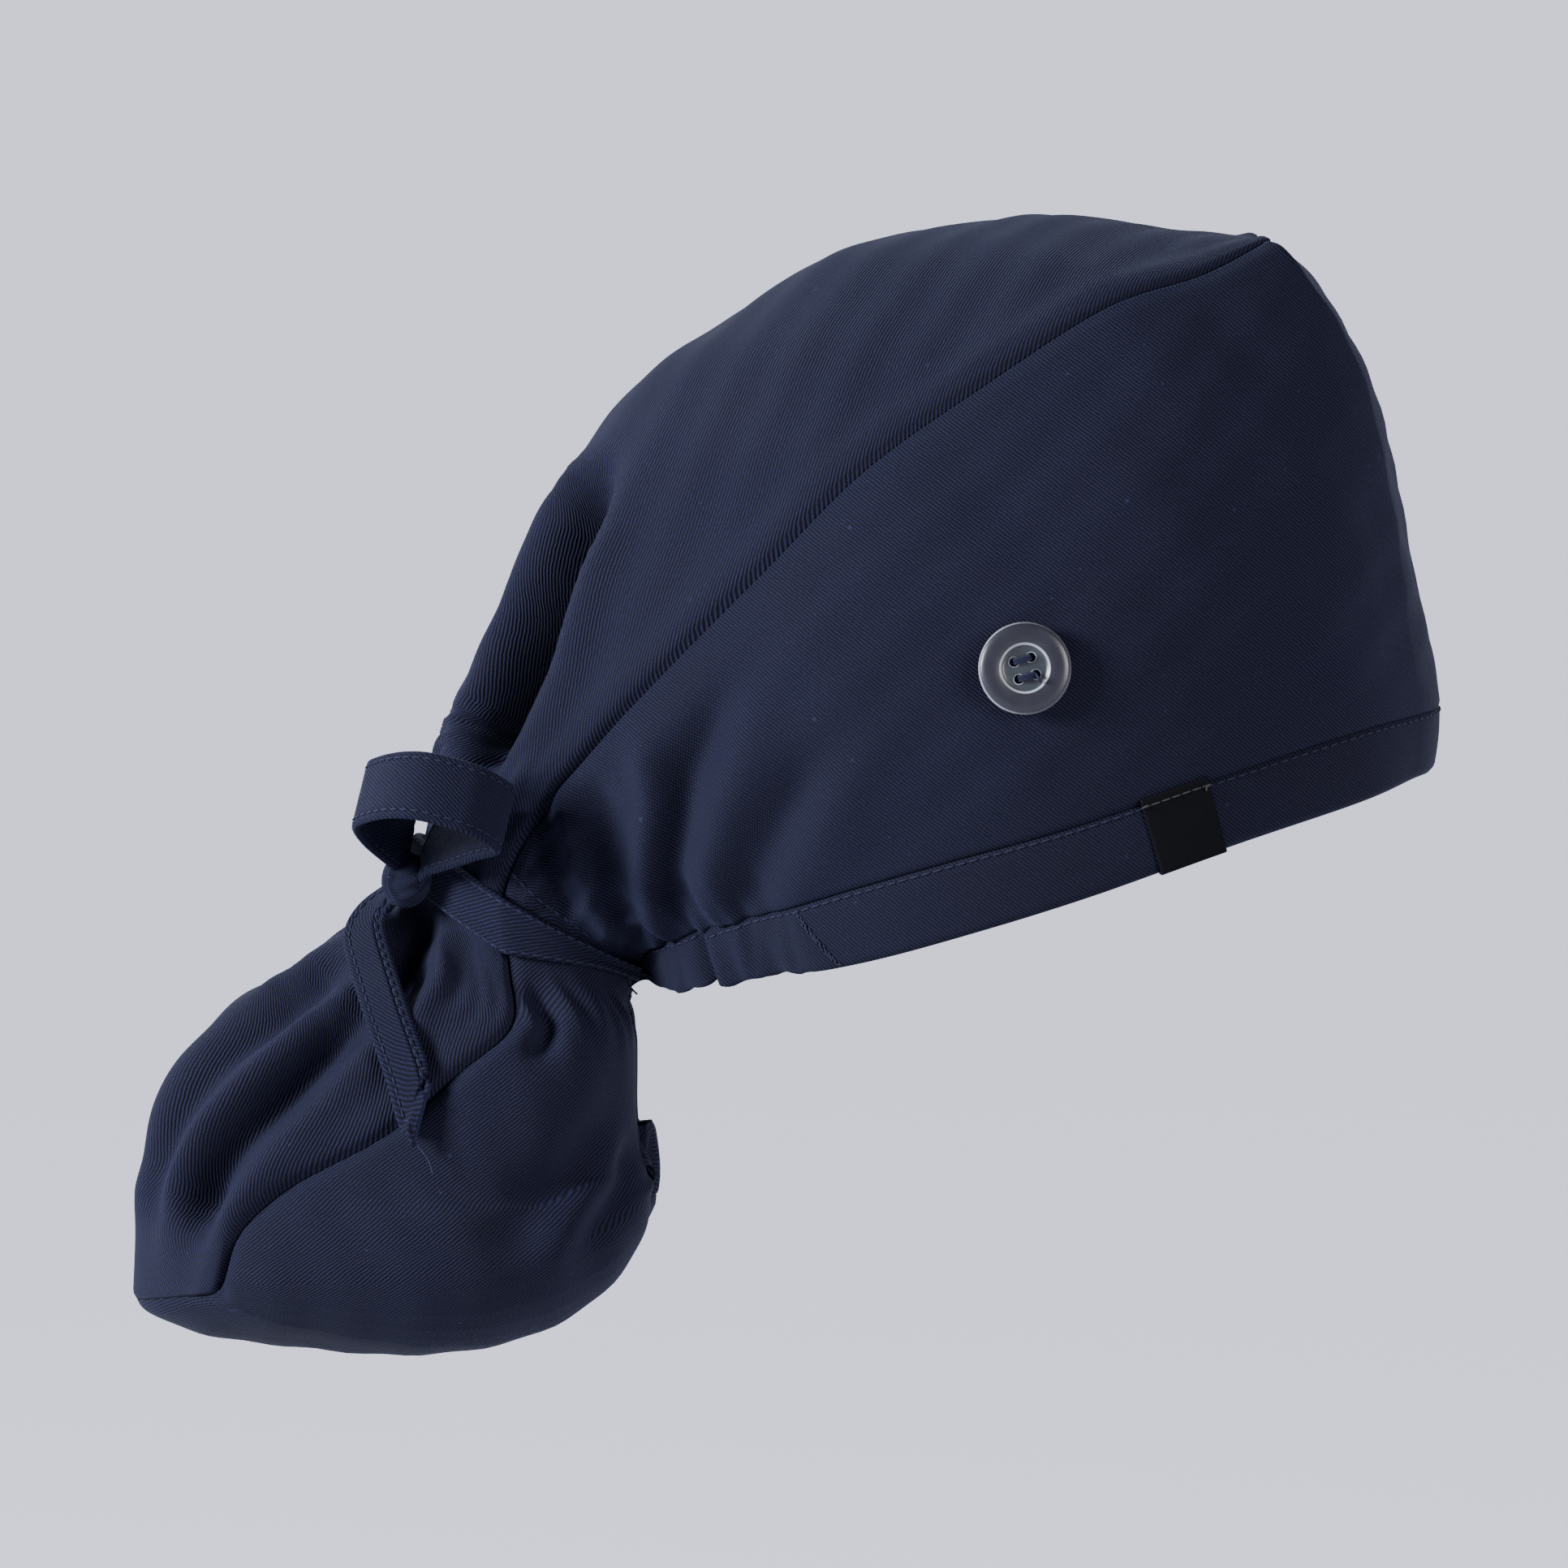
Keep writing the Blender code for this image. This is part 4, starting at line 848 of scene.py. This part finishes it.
def add_strap(name, base, normal, weave, thickness):
    """Closed strap over base points (rows along it, columns across it), raised along the normals."""
    edge = np.minimum(weave[..., 1] - weave[:, :1, 1], weave[:, -1:, 1] - weave[..., 1])
    height = np.sqrt(np.maximum(1 - (1 - np.clip(edge / 0.0010, 0, 1)) ** 2, 0))
    height = height - 0.20 * np.exp(-((edge - STITCH_INSET) / 0.0006) ** 2)
    over = base + normal * (thickness * (0.5 + 0.5 * height))[..., None]
    under = base + normal * (thickness * (0.5 - 0.5 * height))[..., None]
    grid = np.concatenate((over, under[:, -2:0:-1]), axis=1)
    uv = np.concatenate((weave, weave[:, -2:0:-1], weave[:, :1]), axis=1)
    part = add_mesh(name, grid, uv, tube=True)
    face_outwards(part.data)
    part.data.materials.append(strap_twill)
    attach(part, "root")
    return part


def tie_base(starts, ends, rows):
    """Base of a tie on the folded cloth: its rows go round the neck, its columns down its width."""
    w = np.linspace(0, 1, TIE_COLUMNS)
    c = np.linspace(starts, ends, rows)[:, None] + 0 * w
    bunched = 0.40 * (1 - ease(np.minimum(c, 4 - c) / 0.9))
    reach = (NECK_EDGES[1] - NECK_EDGES[0]) * (w - 0.08 * np.sin(2 * np.pi * w))
    t = NECK_EDGES[0] + bunched * 0.2 + reach * (1 - bunched)
    point, normal = cloth(t, c)
    crease = 0.0005 * np.exp(-((w - 0.62) / 0.05) ** 2) * np.sin(np.pi * np.linspace(0, 1, rows))[:, None]
    point = point + normal * (STRAP_LIFT - crease)[..., None]
    uv = np.stack((lengths(point, 0)[:, [TIE_COLUMNS // 2]] + 0 * t, lengths(point, 1)), axis=-1)
    return point, normal, uv


for name, starts, ends in (("tie_right", TIE_START, TIE_MEET), ("tie_left", 4 - TIE_START, TIE_MEET)):
    base, normal, uv = tie_base(starts, ends, 120 if name == "tie_right" else 180)
    strap = add_strap(name + "_cloth", base, normal, uv, STRAP_WALL)
    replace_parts(strap, name)
    size = (0.0148, 0.055 if name == "tie_right" else 0.085)
    inside = STITCH_INSET / STRAP_WIDTH
    lines = []
    for w in (inside, 1 - inside):
        k = int(round(w * (TIE_COLUMNS - 1)))
        lines.append(base[2:-4, k] + normal[2:-4, k] * (STRAP_WALL * 0.97))
    add_stitches(name + "_stitches", lines, TOPSTITCH, navy_thread)

# Knot
# The two straps drawn tight over each other: a small firm lump with the wrapped strap's edges
# showing as ridges across it.

KNOT_RADIUS = 0.0080
KNOT_THICKNESS = 0.0130


def knot_frame():
    """Middle of the knot, on the ties, with its outward direction."""
    t = np.array([KNOT_STATION])
    point, normal = cloth(t, np.array([TIE_MEET]))
    out = STRAP_LIFT + STRAP_WALL + CLEARANCE + KNOT_THICKNESS / 2
    return point[0] + normal[0] * out, normal[0]


KNOT_CENTRE, KNOT_NORMAL = knot_frame()


def add_knot():
    azimuth, polar = np.meshgrid(np.linspace(0, 2 * np.pi, 97)[:-1], np.linspace(0.04, np.pi - 0.04, 48),
                                 indexing="xy")
    way = np.stack((np.cos(azimuth) * np.sin(polar), np.sin(azimuth) * np.sin(polar), np.cos(polar)), -1)
    turn = np.array(Vector(KNOT_NORMAL).to_track_quat("Z", "Y").to_matrix())
    wrap = way[..., 0] * 0.9 + way[..., 2] * 0.35
    band = 1 / (1 + np.exp(-(0.42 - np.abs(wrap)) * 22))
    crease = np.sin(way[..., 1] * 9 + way[..., 2] * 5) * 0.035 * (1 - band)
    radius = 0.76 + 0.13 * band + crease + 0.02 * np.sin(wrap * 26) * band
    size = np.array((KNOT_RADIUS, KNOT_RADIUS, KNOT_THICKNESS / 2))
    point = KNOT_CENTRE + (way * size * radius[..., None]) @ turn.T
    uv = np.stack((azimuth, polar), axis=-1) * KNOT_RADIUS
    uv = np.concatenate((uv, uv[:, :1] + (2 * np.pi * KNOT_RADIUS, 0)), axis=1)
    part = add_mesh("knot_cloth", point, uv, tube=True)
    face_outwards(part.data)
    part.data.materials.append(strap_twill)
    return part


knot = add_knot()
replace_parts(knot, "knot")
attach(knot, "root")

# Bow loop
# One strap turned back on itself out of the knot, so that it stands open as a ring. Its outer face
# shows both rows of topstitching.

LOOP_LENGTH = 0.036
LOOP_REACH = 0.041
PINCHED_WIDTH = 0.009

# The strap seen along its edge, forwards and outwards from the knot, round and back
LOOP_TABLE = (
    (0.04, 0.02),
    (0.28, 0.29),
    (0.48, 0.54),
    (0.66, 0.77),
    (0.50, 0.95),
    (0.32, 1.00),
    (0.09, 1.00),
    (-0.09, 0.92),
    (-0.24, 0.78),
    (-0.33, 0.62),
    (-0.27, 0.38),
    (-0.10, 0.12),
    (-0.02, 0.03),
)
LOOP_OPENING = 0.9

# Direction of the strap's width, across the ring
LOOP_WAY = np.array(Vector((0.235, 0.465, 1)).normalized())


def strap_along(name, middle, width, side, slant=0.0, turned=0.0, thickness=STRAP_WALL):
    """Strap whose middle line, widths and side directions are given row by row.

    Its last end is cut on a slant, and the edge turned back along one side stands a little proud.
    """
    w = np.linspace(-0.5, 0.5, 31)
    way = unit(np.gradient(middle, axis=0))
    normal = unit(np.cross(side, way))
    to_end = lengths(middle[::-1][:, None], 0)[::-1]
    cut = slant * (1 - ease(to_end / 0.035)) * w
    base = middle[:, None] + side[:, None] * (width[:, None] * w)[..., None] + way[:, None] * cut[..., None]
    base = base - normal[:, None] * thickness / 2
    edge_fold = ease((w * width[:, None] - width[:, None] / 2 + 0.0030) / 0.0008) * turned
    base = base + normal[:, None] * edge_fold[..., None]
    u = lengths(middle[:, None], 0)
    uv = np.stack((u + 0 * w, (w + 0.5) * width[:, None]), axis=-1)
    normals = np.repeat(normal[:, None], len(w), axis=1)
    part = add_strap(name, base, normals, uv, thickness)
    edge = 0.5 - STITCH_INSET / width
    lines = []
    for face in (0.99, 0.01):
        for sign in (-1, 1):
            shift = slant * (1 - ease(to_end[:, 0] / 0.035)) * edge * sign
            line = middle + side * (width * edge * sign)[:, None] + way * shift[:, None]
            lines.append((line + normal * thickness * (face - 0.5))[2:-5])
    add_stitches(name + "_stitches", lines, TOPSTITCH, navy_thread)
    return part


def loop_rows(count):
    """Middle, width and side direction of the loop's strap."""
    knots = np.arange(len(LOOP_TABLE), dtype=float)
    plan = np.array([(row[0] * LOOP_LENGTH, -row[1] * LOOP_REACH, 0) for row in LOOP_TABLE])
    s = np.linspace(0.04, knots[-1] - 0.04, count)
    place = smooth(knots, plan, s)
    place[:, 2] = -(place[:, 0] * LOOP_WAY[0] + place[:, 1] * LOOP_WAY[1]) / LOOP_WAY[2]
    opened = ease(np.minimum(s, knots[-1] - s) / (LOOP_OPENING * 0.6))
    width = PINCHED_WIDTH + (STRAP_WIDTH - PINCHED_WIDTH) * opened
    lift = LOOP_WAY * (width / 2 - PINCHED_WIDTH / 2 * (1 - opened))[:, None]
    return KNOT_CENTRE + place + lift, width, np.repeat(LOOP_WAY[None], count, axis=0)


loop = strap_along("bow_loop_cloth", *loop_rows(200))
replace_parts(loop, "bow_loop")

# Tails
# The ties' free ends, cut on a slant and turned in. The right one hangs over the pouch's near
# side and the left one over its far side.

TAIL_SLANT = 0.010

# Station and across on the bag, then height above it and width, in strap widths
TAIL_RIGHT = (
    (10.60, 1.58, 0.48, 0.38),
    (11.00, 1.64, 0.48, 0.40),
    (11.38, 1.69, 0.42, 0.46),
    (11.76, 1.70, 0.34, 0.56),
    (12.14, 1.63, 0.27, 0.62),
    (12.55, 1.46, 0.22, 0.62),
    (12.95, 1.28, 0.22, 0.62),
    (13.35, 1.10, 0.22, 0.62),
    (13.70, 0.97, 0.22, 0.62),
)
TAIL_LEFT = (
    (10.50, 1.58, 0.50, 0.40),
    (10.10, 1.76, 0.46, 0.42),
    (10.05, 2.04, 0.40, 0.50),
    (10.45, 2.30, 0.36, 0.72),
    (11.15, 2.42, 0.30, 0.95),
    (12.00, 2.52, 0.24, 1.00),
    (12.90, 2.66, 0.22, 1.00),
    (13.65, 2.84, 0.22, 1.00),
    (14.30, 3.04, 0.24, 1.00),
)


def tail_rows(table, count):
    """Middle, width and side direction of a tail that leaves the knot and lies on the bag."""
    knots = np.arange(len(table), dtype=float)
    values = smooth(knots, np.array(table, float), np.linspace(0.5, knots[-1], count))
    station, across, height, width = values.T
    over = across > 2
    share = np.where(over, 4 - across, across)
    way = np.where(over[:, None], LEFT_WAY, RIGHT_WAY)
    point = bag_point(station, share) * way
    normal = bag_normal(station, share) * way
    middle = point + normal * (height * STRAP_WIDTH)[:, None]
    side = unit(np.cross(normal, np.gradient(middle, axis=0)))
    for _ in range(30):
        side[1:-1] = side[1:-1] * 0.5 + (side[:-2] + side[2:]) * 0.25
    return middle, width * STRAP_WIDTH, unit(side)


tail_corners = {}
for name, table, slant, flat in (("tail_right", TAIL_RIGHT, -TAIL_SLANT, (0.0115, 0.085)),
                                 ("tail_left", TAIL_LEFT, TAIL_SLANT, (STRAP_WIDTH, 0.108))):
    middle, width, side = tail_rows(table, 150)
    tail = strap_along(name + "_cloth", middle, width, side, slant * 1.3, 0.0007)
    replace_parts(tail, name)
    tail_way = unit(middle[-1] - middle[-4])
    tail_corners[name] = middle[-1] - side[-1] * width[-1] * 0.42 + tail_way * TAIL_SLANT * 0.5

# Buttons
# Moulded four-hole buttons of smoky clear plastic, with a broad rounded rim and a sunk well.

BUTTON_DIAMETER = 0.023
BUTTON_THICKNESS = 0.0032
BUTTON_RIM = 0.0011
BUTTON_TURN = math.radians(-16)
WELL_DIAMETER = 0.0116
HOLE_DIAMETER = 0.0024
HOLE_SPACING = 0.0044
SHANK_HEIGHT = 0.0009


def button_frame(left):
    """Matrix of a button: its back on the thread's shank, its face outwards."""
    station = np.array([BUTTON_PLACE[0]])
    point, normal = cloth(station, np.array([4 - BUTTON_PLACE[1] if left else BUTTON_PLACE[1]]))
    normal = Vector(normal[0])
    origin = Vector(point[0]) + normal * (CLEARANCE * 2 + SHANK_HEIGHT)
    up = (Vector((0, 0, 1)) - normal * normal.z).normalized()
    right = up.cross(normal)
    tilt_right = right * math.cos(BUTTON_TURN) - up * math.sin(BUTTON_TURN)
    tilt_up = right * math.sin(BUTTON_TURN) + up * math.cos(BUTTON_TURN)
    return np.array((tilt_right, tilt_up, normal)), np.array(origin)


def smoke_finish():
    """Clear smoky plastic, with painted highlights in its rim, on the well's edge and round the holes; the
    rim's painted highlight fades towards the brow as painted shade.
    """
    material, shader, value = new_finish("smoke_clear_plastic", 0.22, IOR=1.5, Alpha=0.86)
    reach = value.make("ShaderNodeSeparateXYZ", {}, {"Vector": value.make("ShaderNodeUVMap",
                                                                         {"uv_map": "reach"}, {})})
    to_hole = Value(reach.tree, reach.socket.node.outputs[1])
    place = value.make("ShaderNodeTexCoord", {}, {}, 3)
    flow = value.noise(place, 260.0, 3.0)
    half = BUTTON_DIAMETER / 2
    well = WELL_DIAMETER / 2
    # Painted highlights: masks for the rim, the well's edge and the holes' bores, mixed towards a pale
    # colour below
    rim = reach.above(half * 0.955, half * 0.985) * (flow * 0.9 + 0.35)
    edge = reach.above(well * 0.97, well * 1.02) * (1 - reach.above(well * 1.06, well * 1.11))
    bore = (1 - to_hole.above(HOLE_DIAMETER * 0.50, HOLE_DIAMETER * 0.62)) * flow * 1.1
    inside = 1 - reach.above(well * 0.97, well * 1.0)
    body = inside.mix((0.018, 0.018, 0.027, 1), (0.028, 0.033, 0.041, 1))
    middle = float(button_frame(False)[1][0])
    across = value.make("ShaderNodeSeparateXYZ", {}, {"Vector": place}, 0)
    # Painted shade: the rim's highlight is dimmed towards the brow, away from the key light on the left
    shaded = 1 - across.above(middle - half * 0.8, middle + half * 0.6) * 0.75
    glow = rim * shaded * 0.75 + edge * 0.60 + bore
    value.put(glow.mix((flow * 0.5 + 0.75).scaled(body), (0.50, 0.52, 0.58, 1)),
              shader.inputs["Base Color"])
    value.put(0.30 + flow * 0.10, shader.inputs["Roughness"])
    return material


smoke = smoke_finish()


def to_row(points, left):
    axes, origin = button_frame(left)
    return np.asarray(points) @ axes + origin


def add_button(name, left):
    half = BUTTON_DIAMETER / 2
    well = WELL_DIAMETER / 2
    low = BUTTON_THICKNESS - BUTTON_RIM
    corners = ((0, low), (well * 0.5, low), (well * 0.88, low + BUTTON_RIM * 0.02),
               (well * 0.98, low + BUTTON_RIM * 0.25), (well * 1.04, BUTTON_THICKNESS * 0.90),
               (well * 1.12, BUTTON_THICKNESS * 0.97), (half * 0.8, BUTTON_THICKNESS),
               (half * 0.92, BUTTON_THICKNESS * 0.93), (half * 0.98, BUTTON_THICKNESS * 0.76),
               (half, BUTTON_THICKNESS * 0.5), (half * 0.97, BUTTON_THICKNESS * 0.22),
               (half * 0.85, 0.0), (0, 0))
    mesh = bpy.data.meshes.new(name)
    bm = bmesh.new()
    rings = []
    for radius, height in corners:
        count = 1 if radius == 0 else 96
        rings.append([bm.verts.new((radius * math.cos(2 * math.pi * k / count),
                                    radius * math.sin(2 * math.pi * k / count), height))
                      for k in range(count)])
    for inner, outer in zip(rings, rings[1:]):
        for k in range(96):
            n = (k + 1) % 96
            loop_verts = [inner[k % len(inner)], outer[k % len(outer)], outer[n % len(outer)],
                          inner[n % len(inner)]]
            face = list(dict.fromkeys(loop_verts))
            bm.faces.new(face)
    bmesh.ops.recalc_face_normals(bm, faces=bm.faces)
    bm.to_mesh(mesh)
    bm.free()
    disc = bpy.data.objects.new(name, mesh)
    drill_mesh = bpy.data.meshes.new(name + "_holes")
    bm = bmesh.new()
    for x in (-0.5, 0.5):
        for y in (-0.5, 0.5):
            made = bmesh.ops.create_cone(bm, cap_ends=True, segments=32, radius1=HOLE_DIAMETER / 2,
                                         radius2=HOLE_DIAMETER / 2, depth=BUTTON_THICKNESS * 3)
            bmesh.ops.translate(bm, verts=made["verts"],
                                vec=(x * HOLE_SPACING, y * HOLE_SPACING, BUTTON_THICKNESS / 2))
    bm.to_mesh(drill_mesh)
    bm.free()
    drills = bpy.data.objects.new(name + "_holes", drill_mesh)
    for item in (disc, drills):
        bpy.context.scene.collection.objects.link(item)
    cut = disc.modifiers.new("Holes", "BOOLEAN")
    cut.object = drills
    cut.operation = "DIFFERENCE"
    graph = bpy.context.evaluated_depsgraph_get()
    solid = bpy.data.meshes.new_from_object(disc.evaluated_get(graph))
    places_now = np.empty(len(solid.vertices) * 3)
    solid.vertices.foreach_get("co", places_now)
    local = places_now.reshape(-1, 3)
    radius = np.hypot(local[:, 0], local[:, 1])
    to_hole = np.hypot(np.abs(local[:, 0]) - HOLE_SPACING / 2, np.abs(local[:, 1]) - HOLE_SPACING / 2)
    corner = np.empty(len(solid.loops), int)
    solid.loops.foreach_get("vertex_index", corner)
    reach = solid.uv_layers.new(name="reach")
    reach.data.foreach_set("uv", np.stack((radius, to_hole), axis=-1)[corner].ravel())
    solid.vertices.foreach_set("co", to_row(local, left).ravel())
    disc.modifiers.clear()
    disc.data = solid
    bpy.data.objects.remove(drills, do_unlink=True)
    solid.shade_smooth()
    solid.set_sharp_from_angle(angle=math.radians(50))
    solid.materials.clear()
    solid.materials.append(smoke)
    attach(disc, "root")
    return disc


for side_name in ("right", "left"):
    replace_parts(add_button("button_%s_moulded" % side_name, side_name == "left"), "button_" + side_name)

# Button threads
# Several turns of dark thread cross the well in two bars, go down through the holes and end in a
# short cut tail.

THREAD_TURN = 0.0005
THREAD_THICKNESS = 0.00065


def add_thread(name, lines, thickness, material, replaces=None):
    """Round threads with capped ends along lines of points."""
    maker = curve_along(name, lines)
    maker.data.bevel_depth = thickness / 2
    maker.data.bevel_resolution = 2
    maker.data.use_fill_caps = True
    part = sewn(maker, material)
    if replaces:
        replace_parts(part, replaces)
    return part


def bar_lines(left):
    """Turns of thread through both pairs of holes, and the thread's cut end."""
    half = HOLE_SPACING / 2
    top = BUTTON_THICKNESS - BUTTON_RIM + 0.0005
    lines = []
    for y in (-half, half):
        for turn in (-THREAD_TURN, 0.0, THREAD_TURN):
            s = np.linspace(0, 1, 25)
            x = -half * np.cos(np.pi * s)
            z = np.where((s < 0.12) | (s > 0.88), -SHANK_HEIGHT, top + 0.0004 * np.sin(np.pi * s))
            lines.append(to_row(np.stack((x, y + turn + 0 * s, z + turn * 0.4), -1), left))
    k = np.linspace(0, 1, 10)
    tail = np.stack((half + 0.0006 * k, -half - 0.0022 * k, top + 0.0005 + 0.0012 * np.sin(3 * k)), -1)
    lines.append(to_row(tail, left))
    return lines


for side_name in ("right", "left"):
    add_thread("thread_%s_turns" % side_name, bar_lines(side_name == "left"), THREAD_THICKNESS,
               navy_thread, "thread_" + side_name)

# Label
# A bare strip of charcoal woven ribbon, folded over the hem's lower edge and sewn on near its upper
# end by one row of pale stitches.

LABEL_WIDTH = 0.0175
LABEL_HEIGHT = 0.0190
LABEL_WALL = 0.0010
LABEL_GAP = 0.0006
LABEL_STATION = 3.28
LABEL_STITCH = (0.0024, 0.0026, 0.00045)

# Length of hem between the two stations on either side of the label
HEM_STATION_LENGTH = float(np.linalg.norm(np.diff(smooth(SIDE_KNOTS, STITCH, np.array([3.0, 4.0])),
                                                  axis=0)))


def ribbon_finish():
    """Tight satin ribbon: fine level yarns."""
    material, shader, value = new_finish("charcoal_woven", 0.8, Specular_IOR_Level=0.06)
    weave = value.make("ShaderNodeUVMap", {"uv_map": "weave"}, {})
    yarn = value.make("ShaderNodeTexBrick", {}, {"Vector": weave, "Scale": 900.0, "Mortar Size": 0.10}, 1)
    slow = value.noise(weave, 90.0, 2.0)
    value.put(((1.12 - yarn * 0.35) * (slow * 0.3 + 0.85)).scaled((0.0030, 0.0032, 0.0050)),
              shader.inputs["Base Color"])
    value.put(value.make("ShaderNodeBump", {}, {"Strength": 0.4, "Distance": 0.0001, "Height": 1 - yarn}),
              shader.inputs["Normal"])
    return material


ribbon = ribbon_finish()


def label_grid():
    """Label from its upper outer end down, round the hem's lower edge and up behind it."""
    outside = LABEL_WALL / 2 + 0.0003
    inside = HEM_WALL + LABEL_GAP + LABEL_WALL / 2
    turn = HEM_WALL / 2 + outside
    w = np.linspace(0.5, -0.5, 25)
    station = LABEL_STATION + w * LABEL_WIDTH / HEM_STATION_LENGTH
    normal = bag_normal(station, np.full_like(station, 0.05))
    fall = smooth(SIDE_KNOTS, FALL, station)
    reach = (LABEL_HEIGHT / np.linalg.norm(fall, axis=-1))[:, None]
    top, _ = cloth(station, np.zeros_like(station))
    rows = []
    for k in np.linspace(1, 0, 31):
        rows.append(top + fall * (1 - reach * k) + normal * outside)
    edge = top + fall - normal * (HEM_WALL / 2)
    for angle in np.linspace(0, math.pi, 13)[1:-1]:
        rows.append(edge + normal * (turn * math.cos(angle))
                    + unit(fall) * (turn * 0.15 * math.sin(angle)))
    for k in np.linspace(0, 1, 21):
        rows.append(top + fall * (1 - reach * k) - normal * inside)
    return np.array(rows).transpose(1, 0, 2)


grid = label_grid()
uv = np.stack((lengths(grid, 0), lengths(grid, 1)), axis=-1)
label = add_mesh("label_ribbon", grid, uv)
thicken(label, LABEL_WALL, 0)
label.data.materials.append(ribbon)
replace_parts(label, "label")
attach(label, "root")
label_line = grid[:, 3] + bag_normal(np.full(25, LABEL_STATION), np.full(25, 0.05)) * 0.0006
pale_thread = thread_finish("pale_sewing_thread", (0.030, 0.030, 0.034))
add_stitches("label_stitches", [label_line[1:-1]], LABEL_STITCH, pale_thread)

# Loose threads
# Cut ends of sewing thread: one at the tip of the right tail, one where the right tie leaves the
# hem and short light ones at the label's upper corners.


def hanging(start, reach, drop, curl, count=14):
    """Short thread end from a point, reaching sideways and falling with a curl."""
    k = np.linspace(0, 1, count)[:, None]
    way = np.array(reach) * k + np.array((0, 0, -drop)) * k**1.2
    return np.array(start) + way + np.array((1, -0.4, 0)) * curl * np.sin(3.2 * k) * k


tail_tip = tail_corners["tail_right"]
tie_foot = tie_base(TIE_START, TIE_MEET, 60)[0][3, -1]
loose = [hanging(tail_tip, (0.0050, -0.0010, 0), 0.0082, 0.0011),
         hanging(tie_foot, (0.0030, -0.0020, 0), 0.0042, -0.0010),
         hanging(tie_foot + (-0.003, -0.001, 0.001), (-0.0012, -0.0015, 0), 0.0026, 0.0006)]
add_thread("loose_threads", loose, 0.0005, navy_thread)
label_ends = [hanging(label_line[0], (0.0009, -0.0010, 0.0006), -0.0002, 0.0004, 8),
              hanging(label_line[-1], (-0.0008, -0.0010, 0.0002), 0.0016, -0.0005, 8)]
add_thread("label_thread_ends", label_ends, 0.00045, pale_thread)

# Studio
# A pale backdrop that glows a little and runs on as the floor, its glow dimmed under and in front of the
# cap as painted shade, a strong cool light from the left, a weak one from above and behind, and a soft warm
# one from the right in front.


def add_stage():
    material, shader, value = new_finish("backdrop_paper", 0.95)
    place = value.make("ShaderNodeTexCoord", {}, {}, 3)
    grain = value.noise(place, 40.0, 2.0)
    value.put((grain * 0.01 + 0.995).scaled((0.20, 0.20, 0.21)), shader.inputs["Base Color"])
    depth = value.make("ShaderNodeSeparateXYZ", {}, {"Vector": place}, 1)
    # Painted shade: the floor glows less towards the front, under and in front of the cap
    glow = depth.above(-0.2, 1.1) * 0.48 + 0.52 + grain * 0.01
    value.put(glow.scaled((0.77, 0.79, 0.98)), shader.inputs["Emission Color"])
    shader.inputs["Emission Strength"].default_value = 1.24
    profile = [(-6.0, -0.36)] + [(2.8 + math.sin(a), 0.64 - math.cos(a))
                                 for a in np.linspace(0, math.pi / 2, 17)] + [(3.8, 6.0)]
    grid = np.array([[(x, y, z) for y, z in profile] for x in (-7.0, 7.0)])
    uv = np.zeros(grid.shape[:2] + (2,))
    backdrop = add_mesh("backdrop", grid, uv)
    backdrop.data.materials.append(material)


add_stage()


def add_light(name, place, target, size, power, color):
    lamp = bpy.data.lights.new(name, "AREA")
    lamp.shape = "SQUARE"
    lamp.size = size
    lamp.energy = power
    lamp.color = color
    item = bpy.data.objects.new(name, lamp)
    item.location = place
    item.rotation_euler = (Vector(target) - Vector(place)).to_track_quat("-Z", "Y").to_euler()
    bpy.context.scene.collection.objects.link(item)


middle = (-0.065, 0.0, 0.02)
add_light("key_light", (-1.68, -0.72, 0.56), middle, 0.6, 118, (0.92, 0.95, 1.0))
add_light("back_light", (-0.7, 0.8, 1.1), middle, 0.7, 12, (0.88, 0.93, 1.0))
add_light("front_light", (1.25, -1.25, 0.45), middle, 0.9, 38, (1.0, 0.97, 0.97))

world = bpy.data.worlds.new("studio")
world.use_nodes = True
sky = world.node_tree.nodes["Background"]
sky.inputs["Color"].default_value = (0.80, 0.85, 0.95, 1)
sky.inputs["Strength"].default_value = 0.16
bpy.context.scene.world = world

# The camera looks along +Y and 4 degrees down, from far enough off to flatten the view
CAMERA_DISTANCE = 2.5
CAMERA_TILT = math.radians(4)
CAMERA_RISE = 0.0229
PICTURE_MIDDLE = Vector((-0.065, 0, 0))

camera_data = bpy.data.cameras.new("camera")
camera_data.lens = 224
camera_data.sensor_width = 36
camera = bpy.data.objects.new("camera", camera_data)
look = Vector((0, math.cos(CAMERA_TILT), -math.sin(CAMERA_TILT)))
up = Vector((0, math.sin(CAMERA_TILT), math.cos(CAMERA_TILT)))
camera.location = PICTURE_MIDDLE + up * CAMERA_RISE - look * CAMERA_DISTANCE
camera.rotation_euler = look.to_track_quat("-Z", "Y").to_euler()
camera_data.clip_start = 0.05
camera_data.clip_end = 50
bpy.context.scene.collection.objects.link(camera)
bpy.context.scene.camera = camera
